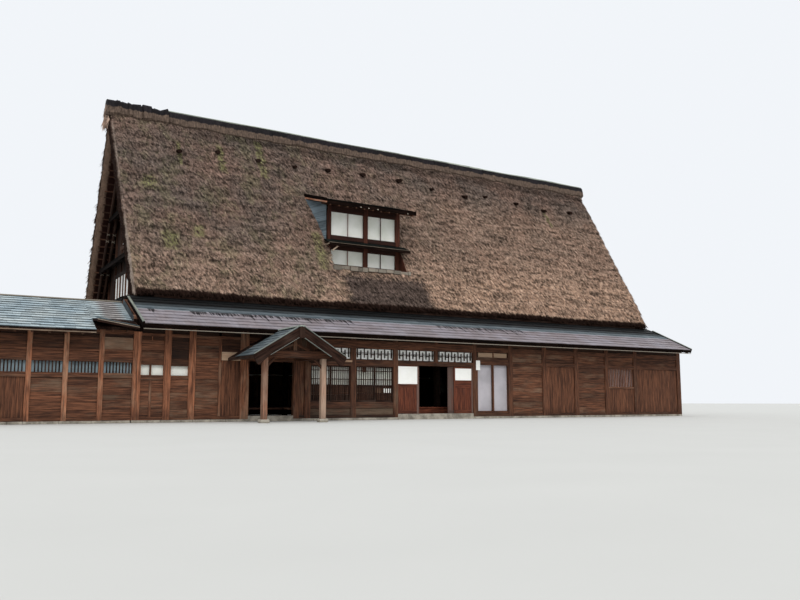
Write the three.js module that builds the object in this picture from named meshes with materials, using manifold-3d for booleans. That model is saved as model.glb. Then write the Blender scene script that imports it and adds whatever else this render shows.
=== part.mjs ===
// Thatched farmhouse with a steep roof, board walls, a gabled porch and a side annex.
// Millimetres, +Z up, +X along the ridge, front towards -Y.
// Origin: foot of the front wall's outer face, halfway along the main house.
import * as THREE from 'three';
import { mergeVertices } from 'three/addons/utils/BufferGeometryUtils.js';
import Module from 'manifold-3d';

const wasm = await Module();
wasm.setup();

// Driving dimensions
const seat = 0.3;                 // gap where one piece rests on another at a slope or a turned face
const houseDepth = 12800;         // between the outer faces of the front and back walls
const ridgeY = houseDepth / 2;
const halfHouse = 12705;          // from the middle to the outer face of an end wall
const wallThickness = 150;        // posts and rails
const panelFront = 45;            // infill boards, measured in from the outer face
const panelBack = 105;
const postWidth = 180;
const footingHeight = 80;
const sillTop = 190;
const doorTop = 2030;
const doorSillTop = 210;
const transomLow = 2200;
const transomHigh = 2610;
const paperThickness = 12;

// Thatch
const thatchPitch = THREE.MathUtils.degToRad(59);
const thatchThickness = 700;      // square to the slope
const thatchEaveY = 1606;         // outer lower edge
const thatchEaveZ = 4400;
const thatchHalfEave = 12450;     // half length at the eave
const vergeLean = 0.023;          // how fast the verge leans outward with height
const swellRows = [0, 2230, 4460, 6690];      // up the slope from the eave
const swellEnd = 8900;            // from here to the ridge the slope is flat, for the cap
const swells = [                  // how far the thatch stands out of the flat slope, along the eave
  [-10, 25, -20, -35, 45, 40, -25, 15, 35, -30, 20, -10],
  [15, -40, 30, -25, 5, 0, 35, -40, 20, 40, -35, 15],
  [-20, 35, -35, 30, 0, 5, -40, 30, -30, 25, 40, -20],
  [20, -30, 40, -25, 30, -35, 25, -20, 40, -35, -15, 20],
];

// Ridge cap
const capHeight = 160;
const capHalfLength = 12710;
const capFoot = 170;              // from the ridge plane, where the cap meets the slope
const capThickness = 105;         // square to the slope, at its foot

// Pent roofs along the front and the back
const pentEaveY = -750;
const pentEaveZ = 3060;
const pentRise = 0.4577;
const pentThickness = 110;
const pentHalfLength = 12590;

// Main frame inside, which carries the attic floor and the thatch
const frameY = 1760;
const frameThickness = 200;
const frameBeamLow = 3850;
const framePost = 200;
const frameBays = 8;
const gableX = 11695;             // outer face of a gable wall
const gableThickness = 150;

// Floors
const groundFloorTop = 450;
const floorThickness = 60;
const lowerAtticZ = 3950;
const upperAtticZ = 6000;
const entryStepY = 1150;          // front edge of the raised floor at the entrance

// Posts of the front wall, and the two doorways
const porchDoor = [-8880, -7240];
const entrance = [-2995, 485];
const postX = { p1: -11620, p2: -10820, p3: -9030, p4: -7130, p5: -6700, p6: -4890, p7: -3085, p9: 575 };
const bay = 1820;

// Sliding doors
const leafWidth = 900;
const leafThickness = 34;
const outerTrack = 34;            // y of the outer leaves' front face
const innerTrack = 80;
const leafLift = 0.5;             // the leaf's foot runs this far above the sill

// Dormer
const dormerFaceY = 3250;
const dormerX = [-4430, -980];
const dormerWall = 60;
const dormerFrame = 100;          // thickness of the window wall
const dormerFoot = 6000;
const dormerPanes = [[6240, 6910], [7450, 8500]];
const dormerRoofY = [2450, 4700];
const dormerRoofX = [-4860, -640];
const dormerRoofZ = 8700;
const dormerRoofRise = 0.3;
const dormerRoofThickness = 140;
const hoodX = [-4600, -780];      // small roof between the two rows of panes
const hoodY = 2700;
const hoodZ = 7030;
const hoodRise = 0.45;
const hoodThickness = 60;
const sillFront = 2480;
const sillThickness = 80;

// Porch
const porchX = -8095;
const porchPostX = 1015;          // from the porch's middle to a post's middle
const porchPostY = -2000;
const porchPostWidth = 170;
const porchBeamLow = 2060;
const porchBeamTop = 2290;
const porchFrontY = -2500;
const porchApexZ = 3030;
const porchHalfWidth = 1530;
const porchEaveZ = 2110;
const porchRoofThickness = 100;

// Annex
const annexEnd = -18825;
const annexBay = 1020;
const annexDepth = 4100;
const annexEaveY = -600;
const annexEaveZ = 2800;
const annexRise = 0.4453;
const annexRoofThickness = 90;
const annexFloorTop = 450;
const joinX = -13950;             // from here to the house the annex eave is cut back under a hood

// Colours
const finish = (color, roughness = 0.85) => new THREE.MeshStandardMaterial({ color, roughness, metalness: 0 });
const colours = {
  thatch: 0x6b5847, ridge: 0x2b2522, shingle: 0x6d7378, board: 0x5f3f2d, post: 0x6a4631, paper: 0xe4e6de,
  floor: 0x5a3a2a, stone: 0x8a8378, door: 0x6e4630, verge: 0x8d7f69,
};

const house = new THREE.Group();

// Solid shapes
const axisX = new THREE.Vector3(1, 0, 0);
const axisY = new THREE.Vector3(0, 1, 0);
const axisZ = new THREE.Vector3(0, 0, 1);

function prism(outline, start, end, u, v, w) {
  const shape = new THREE.Shape(outline.map(([a, b]) => new THREE.Vector2(a, b)));
  const geometry = new THREE.ExtrudeGeometry(shape, { depth: end - start, bevelEnabled: false });
  geometry.translate(0, 0, start);
  return geometry.applyMatrix4(new THREE.Matrix4().makeBasis(u, v, w));
}

const alongX = (yz, x0, x1) => prism(yz, x0, x1, axisY, axisZ, axisX);
const alongY = (xz, y0, y1) => prism(xz.map(([x, z]) => [z, x]), y0, y1, axisZ, axisX, axisY);
const alongZ = (xy, z0, z1) => prism(xy, z0, z1, axisX, axisY, axisZ);

function block([x0, x1], [y0, y1], [z0, z1]) {
  const geometry = new THREE.BoxGeometry(x1 - x0, y1 - y0, z1 - z0);
  return geometry.translate((x0 + x1) / 2, (y0 + y1) / 2, (z0 + z1) / 2);
}

function solid(geometry) {
  const bare = geometry.clone();
  bare.deleteAttribute('normal');
  bare.deleteAttribute('uv');
  const merged = mergeVertices(bare);
  return new wasm.Manifold(new wasm.Mesh({
    numProp: 3,
    vertProperties: new Float32Array(merged.attributes.position.array),
    triVerts: new Uint32Array(merged.index.array),
  }));
}

const joined = (shapes) => shapes.map(solid).reduce((sum, one) => sum.add(one));
const cut = (base, shapes) => shapes.map(solid).reduce((rest, one) => rest.subtract(one), base);

function faceted(manifold) {
  const mesh = manifold.getMesh();
  const geometry = new THREE.BufferGeometry();
  geometry.setAttribute('position', new THREE.BufferAttribute(new Float32Array(mesh.vertProperties), 3));
  geometry.setIndex(new THREE.BufferAttribute(new Uint32Array(mesh.triVerts), 1));
  const flat = geometry.toNonIndexed();
  flat.computeVertexNormals();
  return flat;
}

function piece(name, shape, color, parent = house) {
  const geometry = shape instanceof THREE.BufferGeometry ? shape : faceted(shape);
  const mesh = new THREE.Mesh(geometry, finish(color));
  mesh.name = name;
  parent.add(mesh);
  return mesh;
}

// Moves every corner of a geometry by a rule of its own place
function warped(geometry, rule) {
  const position = geometry.attributes.position;
  const corner = new THREE.Vector3();
  for (let i = 0; i < position.count; i += 1) {
    corner.fromBufferAttribute(position, i);
    rule(corner);
    position.setXYZ(i, corner.x, corner.y, corner.z);
  }
  return geometry;
}

// Heights of the main surfaces, for a place in front of the ridge
const thatchTop = (y) => thatchEaveZ + (y - thatchEaveY) * Math.tan(thatchPitch);
const thatchDrop = thatchThickness / Math.cos(thatchPitch);
const thatchUnder = (y) => thatchTop(y) - thatchDrop;
const thatchUnderY = (z) => thatchEaveY + (z + thatchDrop - thatchEaveZ) / Math.tan(thatchPitch);
const thatchCut = (y) => thatchEaveZ - (y - thatchEaveY) / Math.tan(thatchPitch);
const innerEave = [thatchEaveY + thatchThickness * Math.sin(thatchPitch), 0];
innerEave[1] = thatchCut(innerEave[0]);
const pentTop = (y) => pentEaveZ + (y - pentEaveY) * pentRise;
const pentUnder = (y) => pentTop(y) - pentThickness;
const wallTop = pentUnder(0) - seat;
const mirrored = (outline) => outline.map(([y, z]) => [houseDepth - y, z]);

// A timber wall in its own frame: x along it, y from the outer face inwards. It has posts and rails
// of the full thickness, thinner infill between them, a stone footing, and holes right through.
function framedWall({ span: [x0, x1], foot = 0, outline, posts = [], rails = [], holes = [] }) {
  const top = Math.max(...outline.map(([, z]) => z));
  const parts = [block([x0, x1], [panelFront, panelBack], [foot, top])];
  for (const [x, width] of posts) {
    parts.push(block([x - width / 2, x + width / 2], [0, wallThickness], [foot, top]));
  }
  for (const [low, high] of rails) {
    parts.push(block([x0, x1], [0, wallThickness], [low, high]));
  }
  let wall = joined(parts).intersect(solid(alongY(outline, 0, wallThickness)));
  wall = cut(wall, holes.map(([a, b, low, high]) => block([a, b], [-10, wallThickness + 10], [low, high])));
  if (foot === 0) {
    wall = wall.add(solid(block([x0, x1], [0, wallThickness], [0, footingHeight])));
  }
  return wall;
}

const flatTop = (x0, x1, low, high) => [[x0, low], [x1, low], [x1, high], [x0, high]];

// Front wall, split beside and over the two doorways
function buildFrontWall() {
  const slit = [1540, 1850];
  const ground = [[0, sillTop], [2640, 2830], [wallTop - 160, wallTop]];
  const left = -halfHouse;
  piece('front_wall_left', framedWall({
    span: [left, porchDoor[0]],
    outline: flatTop(left, porchDoor[0], 0, wallTop),
    posts: [[left + 125, 250], [postX.p1, postWidth], [postX.p2, postWidth], [postX.p3, 300]],
    rails: [...ground, [1380, 1480], [1900, 2000]],
    holes: [[-12440, -11730, ...slit], [-11510, -10930, ...slit]],
  }), colours.board);

  piece('porch_door_head', framedWall({
    span: porchDoor,
    foot: doorTop,
    outline: flatTop(...porchDoor, doorTop, wallTop),
    rails: [[doorTop, 2190], [2640, 2830], [wallTop - 160, wallTop]],
  }), colours.board);

  const latticeLow = 650;
  const latticeHigh = 1950;
  const nearPost = postWidth / 2;
  piece('front_wall_lattice', framedWall({
    span: [porchDoor[1], entrance[0]],
    outline: flatTop(porchDoor[1], entrance[0], 0, wallTop),
    posts: [[postX.p4, 220], [postX.p5, postWidth], [postX.p6, postWidth], [postX.p7, postWidth]],
    rails: [...ground, [430, latticeLow], [latticeHigh, transomLow]],
    holes: [
      [postX.p5 + nearPost, postX.p6 - nearPost, latticeLow, latticeHigh],
      [postX.p6 + nearPost, postX.p7 - nearPost, latticeLow, latticeHigh],
      [postX.p5 + nearPost, postX.p6 - nearPost, transomLow, transomHigh],
      [postX.p6 + nearPost, postX.p7 - nearPost, transomLow, transomHigh],
    ],
  }), colours.board);

  const strut = -1265;
  piece('entrance_head', framedWall({
    span: entrance,
    foot: doorTop,
    outline: flatTop(...entrance, doorTop, wallTop),
    posts: [[strut, 160]],
    rails: [[doorTop, transomLow], [transomHigh, 2830], [wallTop - 160, wallTop]],
    holes: [
      [entrance[0] + 50, strut - 80, transomLow, transomHigh],
      [strut + 80, entrance[1] - 50, transomLow, transomHigh],
    ],
  }), colours.board);

  const rightPosts = [[postX.p9, postWidth]];
  for (let x = postX.p9 + bay; x < halfHouse - bay; x += bay) {
    rightPosts.push([x, postWidth]);
  }
  rightPosts.push([halfHouse - 125, 250]);
  piece('front_wall_right', framedWall({
    span: [entrance[1], halfHouse],
    outline: flatTop(entrance[1], halfHouse, 0, wallTop),
    posts: rightPosts,
    rails: [...ground, [2130, 2280]],
    holes: [
      [postX.p9 + 160, postX.p9 + bay - nearPost, 300, 2130],
      [postX.p9 + 4 * bay + 180, postX.p9 + 5 * bay - 180, 1300, 2130],
    ],
  }), colours.board);
}

// White paper behind the windows: one sheet a wall
function buildPaper() {
  const back = [wallThickness, wallThickness + paperThickness];
  piece('window_paper_left', block([-12480, -10890], back, [1500, 1890]), colours.paper);
  const sheet = [
    [postX.p5, 600], [postX.p7, 600], [postX.p7, 2150], [entrance[1] + 60, 2150], [entrance[1] + 60, 2630],
    [postX.p5, 2630],
  ];
  piece('window_paper_middle', alongY(sheet, ...back), colours.paper);
  const first = postX.p9 + 110;
  piece('window_paper_right', alongY([
    [first, 260], [first + bay, 260], [first + bay, 2130], [postX.p9 + 4 * bay + 130, 2130],
    [postX.p9 + 4 * bay + 130, 1260], [postX.p9 + 5 * bay - 130, 1260], [postX.p9 + 5 * bay - 130, 2170],
    [first, 2170],
  ], ...back), colours.paper);
}

// Back wall: plain repeat of the board bays, with three long paper windows
const backWindows = [-8900, -1620, 5660].map((x) => [x, x + bay - postWidth]);

function buildBackWall() {
  const posts = [[-halfHouse + 125, 250], [halfHouse - 125, 250]];
  for (let x = -10920; x < halfHouse - 600; x += bay) {
    posts.push([x + 1020 - bay / 2, postWidth]);
  }
  const group = new THREE.Group();
  group.rotation.z = Math.PI;
  group.position.set(0, houseDepth, 0);
  house.add(group);
  piece('back_wall', framedWall({
    span: [-halfHouse, halfHouse],
    outline: flatTop(-halfHouse, halfHouse, 0, wallTop),
    posts,
    rails: [[0, sillTop], [1100, 1200], [1950, 2080], [2640, 2830], [wallTop - 160, wallTop]],
    holes: backWindows.map(([a, b]) => [a, b, 1200, 1950]),
  }), colours.board, group);
  const low = 1160;
  const high = 1990;
  const rail = 2040;
  const [first, second, third] = backWindows;
  piece('window_paper_back', alongY([
    [first[0] - 40, low], [first[1] + 40, low], [first[1] + 40, high], [second[0] - 40, high],
    [second[0] - 40, low], [second[1] + 40, low], [second[1] + 40, high], [third[0] - 40, high],
    [third[0] - 40, low], [third[1] + 40, low], [third[1] + 40, rail], [first[0] - 40, rail],
  ], wallThickness, wallThickness + paperThickness), colours.paper, group);
}

// End walls, which rise under the small roof at the gable's foot
const footPentLow = 4150;
const footPentRise = 0.4;
const footPentX = 12750;
const footPentThickness = 90;
const endWallTop = footPentLow + (footPentX - halfHouse) * footPentRise - footPentThickness - seat;

function buildEndWall(name, side) {
  const inset = wallThickness + seat;
  const low = pentUnder(inset) - 2 * seat;
  const shoulder = pentEaveY + (endWallTop + 2 * seat + pentThickness - pentEaveZ) / pentRise;
  const outline = [
    [inset, 0], [houseDepth - inset, 0], [houseDepth - inset, low], [houseDepth - shoulder, endWallTop],
    [shoulder, endWallTop], [inset, low],
  ];
  const posts = [[inset + 75, 150], [houseDepth - inset - 75, 150]];
  for (let y = frameY + framePost / 2; y < houseDepth - frameY; y += bay) {
    posts.push([y, postWidth]);
  }
  const group = new THREE.Group();
  group.rotation.z = side * Math.PI / 2;
  group.position.set(side * halfHouse, side > 0 ? 0 : houseDepth, 0);
  house.add(group);
  const windows = [[5560, 7200], [7380, 9020]];
  piece(name, framedWall({
    span: [inset, houseDepth - inset],
    outline,
    posts,
    rails: [[0, sillTop], [1100, 1200], [1950, 2080], [2950, 3150]],
    holes: windows.map(([a, b]) => [side > 0 ? a : houseDepth - b, side > 0 ? b : houseDepth - a, 1200, 1950]),
  }), colours.board, group);
  const sheet = side > 0 ? [5500, 9080] : [houseDepth - 9080, houseDepth - 5500];
  const behind = [wallThickness + seat, wallThickness + paperThickness];
  piece(`${name}_paper`, block(sheet, behind, [1160, 1990]), colours.paper, group);
}

// Entrance: threshold and four sliding leaves on two tracks
function buildEntrance() {
  piece('entrance_sill', joined([
    block(entrance, [0, wallThickness], [0, doorSillTop]),
    block(entrance, [-40, wallThickness], [0, footingHeight]),
  ]), colours.stone);
  piece('porch_door_sill', block(porchDoor, [0, wallThickness], [0, sillTop]), colours.stone);

  const low = doorSillTop + leafLift;
  const high = doorTop - 5;
  const stile = 60;
  const lockRail = [1190, 1290];
  const leaves = [
    ['door_leaf_1', entrance[0] + 6, outerTrack],
    ['door_leaf_2', entrance[0] + 75, innerTrack],
    ['door_leaf_3', -690, innerTrack],
    ['door_leaf_4', entrance[1] - 6 - leafWidth, outerTrack],
  ];
  for (const [name, x, y] of leaves) {
    const frame = joined([
      block([0, stile], [0, leafThickness], [low, high]),
      block([leafWidth - stile, leafWidth], [0, leafThickness], [low, high]),
      block([0, leafWidth], [0, leafThickness], [low, low + 130]),
      block([0, leafWidth], [0, leafThickness], [high - 60, high]),
      block([0, leafWidth], [0, leafThickness], lockRail),
      block([stile / 2, leafWidth - stile / 2], [8, leafThickness - 8], [low + 60, high - 30]),
    ]);
    piece(name, frame, colours.door).position.set(x, y, 0);
  }
}

// Pent roofs and the frame under the thatch's edge
function buildPents() {
  const end = frameY - seat;
  const slab = [
    [pentEaveY, pentEaveZ], [end, pentTop(end)], [end, pentUnder(end)], [pentEaveY, pentUnder(pentEaveY)],
  ];
  piece('front_pent_roof', alongX(slab, -pentHalfLength, pentHalfLength), colours.shingle);
  piece('back_pent_roof', alongX(mirrored(slab), -pentHalfLength, pentHalfLength), colours.shingle);

  const back = frameY + frameThickness;
  const beam = [
    [frameY, frameBeamLow], [back, frameBeamLow],
    [back, thatchCut(back) - 2 * seat], [frameY, thatchCut(frameY) - 2 * seat],
  ];
  for (const [name, side] of [['main_frame_front', 1], ['main_frame_back', -1]]) {
    const place = (y) => (side > 0 ? y : houseDepth - y);
    const parts = [alongX(side > 0 ? beam : mirrored(beam), -gableX, gableX)];
    const depth = [place(frameY), place(back)].sort((a, b) => a - b);
    for (let i = 0; i <= frameBays; i += 1) {
      const x = -gableX + framePost / 2 + (i * (2 * gableX - framePost)) / frameBays;
      parts.push(block([x - framePost / 2, x + framePost / 2], depth, [0, frameBeamLow]));
    }
    piece(name, joined(parts), colours.post);
  }
}

// Floors
function buildFloors() {
  const edgeX = halfHouse - wallThickness - seat;
  const edgeY = wallThickness + paperThickness + seat;
  const frameBack = frameY + frameThickness;
  const step = [entrance[0] - 60, entrance[1] + 60];
  const lobby = [porchDoor[0] - 60, porchDoor[1] + 60];
  const outline = [
    [-edgeX, edgeY], [lobby[0], edgeY], [lobby[0], entryStepY], [lobby[1], entryStepY], [lobby[1], edgeY],
    [step[0], edgeY], [step[0], entryStepY], [step[1], entryStepY], [step[1], edgeY], [edgeX, edgeY],
    [edgeX, houseDepth - edgeY], [-edgeX, houseDepth - edgeY],
  ];
  let boards = solid(alongZ(outline, groundFloorTop - floorThickness, groundFloorTop));
  const postCuts = [];
  for (const side of [1, -1]) {
    for (let i = 0; i <= frameBays; i += 1) {
      const x = -gableX + framePost / 2 + (i * (2 * gableX - framePost)) / frameBays;
      const depth = side > 0 ? [frameY, frameBack] : [houseDepth - frameBack, houseDepth - frameY];
      postCuts.push(block(
        [x - framePost / 2 - seat, x + framePost / 2 + seat],
        [depth[0] - seat, depth[1] + seat],
        [0, groundFloorTop + 10],
      ));
    }
  }
  boards = cut(boards, postCuts);
  piece('ground_floor', boards, colours.floor);

  piece('attic_floor_lower', block(
    [-gableX, gableX], [frameBack, houseDepth - frameBack], [lowerAtticZ, lowerAtticZ + floorThickness],
  ), colours.floor);
  const low = thatchUnderY(upperAtticZ) + seat;
  const high = thatchUnderY(upperAtticZ + floorThickness) + seat;
  const inside = gableX - gableThickness - paperThickness - seat;
  piece('attic_floor_upper', alongX([
    [low, upperAtticZ], [houseDepth - low, upperAtticZ],
    [houseDepth - high, upperAtticZ + floorThickness], [high, upperAtticZ + floorThickness],
  ], -inside, inside), colours.floor);
}

// Thatch: two leaning slabs that meet at the ridge
const vergeX = (z) => thatchHalfEave + (z - thatchEaveZ) * vergeLean;

// The front slab: a grid of places on its outer face stands out or in by the swells, the underside is flat
function thatchSlab() {
  const slope = (ridgeY - thatchEaveY) / Math.cos(thatchPitch);
  const innerSlope = (ridgeY - innerEave[0]) / Math.cos(thatchPitch);
  const rows = [...swellRows, swellEnd, slope];
  const across = swells[0].length - 1;
  return warped(new THREE.BoxGeometry(1, 1, 1, across, rows.length - 1, 1), (corner) => {
    const column = Math.round((corner.x + 0.5) * across);
    const row = Math.round((corner.y + 0.5) * (rows.length - 1));
    const outer = corner.z > 0;
    const out = outer ? (swells[row]?.[column] ?? 0) : -thatchThickness;
    const up = outer ? rows[row] : (rows[row] * innerSlope) / slope;
    const y = thatchEaveY + up * Math.cos(thatchPitch) - out * Math.sin(thatchPitch);
    const z = thatchEaveZ + up * Math.sin(thatchPitch) + out * Math.cos(thatchPitch);
    corner.set(((2 * column) / across - 1) * vergeX(z), y, z);
  });
}
const dormerRoofTop = (y) => dormerRoofZ + (y - dormerRoofY[0]) * dormerRoofRise;
const dormerRoofUnder = (y) => dormerRoofTop(y) - dormerRoofThickness;

function buildThatch() {
  const outside = thatchEaveY - 100;
  const inside = thatchUnderY(dormerRoofTop(dormerRoofY[1])) + 300;
  const roomCut = alongX([
    [outside, dormerFoot - seat], [inside, dormerFoot - seat],
    [inside, dormerRoofUnder(dormerRoofY[1])], [dormerRoofY[1], dormerRoofUnder(dormerRoofY[1])],
    [outside, dormerRoofUnder(outside)],
  ], dormerX[0] - seat, dormerX[1] + seat);
  const [roofFront, roofBack] = [dormerRoofY[0] - 10, dormerRoofY[1] + seat];
  const roofCut = alongX([
    [roofFront, dormerRoofUnder(roofFront) - seat], [roofBack, dormerRoofUnder(roofBack) - seat],
    [roofBack, dormerRoofTop(roofBack) + seat], [roofFront, dormerRoofTop(roofFront) + seat],
  ], dormerRoofX[0] - seat, dormerRoofX[1] + seat);
  piece('thatch_front', cut(solid(thatchSlab()), [roomCut, roofCut]), colours.thatch);
  const back = thatchSlab().rotateZ(Math.PI).translate(0, houseDepth, 0);
  piece('thatch_back', solid(back), colours.thatch);

  const lift = 2 * seat;
  const top = thatchTop(ridgeY) + capHeight;
  const foot = thatchTop(ridgeY - capFoot) + lift;
  const halfCap = [
    [capFoot, foot],
    [capFoot + capThickness * Math.sin(thatchPitch), foot + capThickness * Math.cos(thatchPitch)],
    [capFoot + 5, top - 100], [capFoot / 2, top],
  ];
  piece('ridge_cap', alongX([
    [ridgeY, thatchTop(ridgeY) + lift],
    ...halfCap.map(([y, z]) => [ridgeY + y, z]),
    ...halfCap.map(([y, z]) => [ridgeY - y, z]).reverse(),
  ], -capHalfLength, capHalfLength), colours.ridge);
}

// One gable end: wall with two rows of windows, paper behind them, and three small roofs
const gableRoofRise = 0.45;
const gableRoofThickness = 70;
const gableRows = [
  {
    z: [4700, 5700], half: 1940, panes: 4, mullion: 120,
    roof: { name: 'middle', outX: 12180, edgeZ: 6130, half: 2700 },
  },
  {
    z: [6950, 7750], half: 910, panes: 2, mullion: 120,
    roof: { name: 'upper', outX: 12120, edgeZ: 8080, half: 1480 },
  },
];

function buildGable(word, side) {
  const low = lowerAtticZ + floorThickness;
  const back = frameY + frameThickness;
  const under = (y) => thatchUnder(y) - 2 * seat;
  const half = [
    [back, low], [back, thatchCut(back) - 2 * seat], [innerEave[0], innerEave[1] - 2 * seat], [ridgeY, under(ridgeY)],
  ];
  const outline = [...half, ...mirrored(half.slice(0, -1)).reverse()];
  const inner = gableX - gableThickness;
  const range = (a, b) => [side * a, side * b].sort((p, q) => p - q);
  const frame = joined([
    alongX(outline, ...range(inner + 45, gableX - 45)),
    ...gableRows.flatMap(({ z, half: w }) => [
      block(range(inner, gableX), [ridgeY - w - 300, ridgeY + w + 300], [z[0] - 180, z[0]]),
      block(range(inner, gableX), [ridgeY - w - 300, ridgeY + w + 300], [z[1], z[1] + 160]),
    ]),
    ...gableRows.map(({ roof }) => {
      const high = roof.edgeZ + (roof.outX - gableX) * gableRoofRise;
      return block(range(inner, gableX), [ridgeY - roof.half, ridgeY + roof.half], [high - 110, high]);
    }),
    block(range(inner, gableX), [back, houseDepth - back], [low, low + 150]),
  ]);
  const holes = gableRows.flatMap(({ z, half: w, panes, mullion }) => {
    const width = (2 * w - (panes - 1) * mullion) / panes;
    return Array.from({ length: panes }, (_, i) => {
      const start = ridgeY - w + i * (width + mullion);
      return block(range(inner - 10, gableX + 10), [start, start + width], z);
    });
  });
  const wall = frame.intersect(solid(alongX(outline, ...range(inner, gableX))));
  piece(`gable_wall_${word}`, cut(wall, holes), colours.board);

  const [lower, upper] = gableRows;
  const sheetX = range(inner - paperThickness, inner);
  piece(`gable_paper_${word}`, alongX([
    [ridgeY - lower.half - 60, lower.z[0] - 60], [ridgeY + lower.half + 60, lower.z[0] - 60],
    [ridgeY + lower.half + 60, lower.z[1] + 60], [ridgeY + upper.half + 60, upper.z[0] - 60],
    [ridgeY + upper.half + 60, upper.z[1] + 60], [ridgeY - upper.half - 60, upper.z[1] + 60],
    [ridgeY - upper.half - 60, upper.z[0] - 60], [ridgeY - lower.half - 60, lower.z[1] + 60],
  ], ...sheetX), colours.paper);

  const sloped = (outlineXY, thickness, outX, edgeZ, rise) => warped(
    alongZ(outlineXY, edgeZ - thickness, edgeZ),
    (corner) => {
      corner.z += (outX - Math.abs(corner.x)) * rise;
    },
  );
  // Roof at the gable's foot: wide outside the verge, narrow between the thatch slabs
  const clear = thatchUnderY(footPentLow + (footPentX - gableX) * footPentRise) + 40;
  const neck = thatchHalfEave - 60;
  const reach = frameY + 10;
  const at = (x, y) => [side * x, y];
  piece(`gable_foot_roof_${word}`, sloped([
    at(footPentX, reach), at(footPentX, houseDepth - reach), at(neck + 100, houseDepth - reach),
    at(neck + 100, houseDepth - clear), at(gableX, houseDepth - clear), at(gableX, clear),
    at(neck + 100, clear), at(neck + 100, reach),
  ], footPentThickness, footPentX, footPentLow, footPentRise), colours.shingle);
  for (const { roof } of gableRows) {
    const ends = [ridgeY - roof.half, ridgeY + roof.half];
    piece(`gable_${roof.name}_roof_${word}`, sloped([
      at(roof.outX, ends[0]), at(roof.outX, ends[1]), at(gableX, ends[1]), at(gableX, ends[0]),
    ], gableRoofThickness, roof.outX, roof.edgeZ, gableRoofRise), colours.shingle);
  }
}

// Dormer: window wall and cheeks, paper, two small roofs and a sill in the cut of the thatch
function buildDormer() {
  const [left, right] = dormerX;
  const faceBack = dormerFaceY + dormerFrame;
  const face = framedDormerFace(left, right, dormerRoofUnder(dormerFaceY) - seat);
  const roofAt = (y) => dormerRoofUnder(y) - seat;
  const crown = 4560;
  const lap = faceBack - 20;
  const cheek = [
    [lap, dormerFoot], [thatchUnderY(dormerFoot), dormerFoot], [thatchUnderY(roofAt(crown)), roofAt(crown)],
    [crown, roofAt(crown)], [lap, roofAt(lap)],
  ];
  const cheeks = joined([alongX(cheek, left, left + dormerWall), alongX(cheek, right - dormerWall, right)]);
  piece('dormer_walls', face.add(cheeks), colours.post);

  piece('dormer_paper', block(
    [left + dormerWall, right - dormerWall], [faceBack, faceBack + paperThickness], [6200, 8540],
  ), colours.paper);

  const [y0, y1] = dormerRoofY;
  piece('dormer_roof', alongX([
    [y0, dormerRoofTop(y0)], [y1, dormerRoofTop(y1)], [y1, dormerRoofUnder(y1)], [y0, dormerRoofUnder(y0)],
  ], ...dormerRoofX), colours.shingle);
  const hoodBack = hoodZ + (dormerFaceY - hoodY) * hoodRise;
  piece('dormer_middle_roof', alongX([
    [hoodY, hoodZ], [dormerFaceY, hoodBack], [dormerFaceY, hoodBack - hoodThickness], [hoodY, hoodZ - hoodThickness],
  ], ...hoodX), colours.shingle);
  const sill = block([left, right], [sillFront, dormerFaceY], [dormerFoot, dormerFoot + sillThickness]);
  piece('dormer_sill', sill, colours.verge);
}

function framedDormerFace(left, right, top) {
  const y = [dormerFaceY, dormerFaceY + dormerFrame];
  const centre = -2650;
  const base = block([left, right], y, [dormerFoot, top]);
  const panes = [[left + 150, centre - 90], [centre + 90, right - 190]];
  const through = [y[0] - 10, y[1] + 10];
  const holes = panes.flatMap((span) => dormerPanes.map((height) => block(span, through, height)));
  return cut(solid(base), holes);
}

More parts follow.
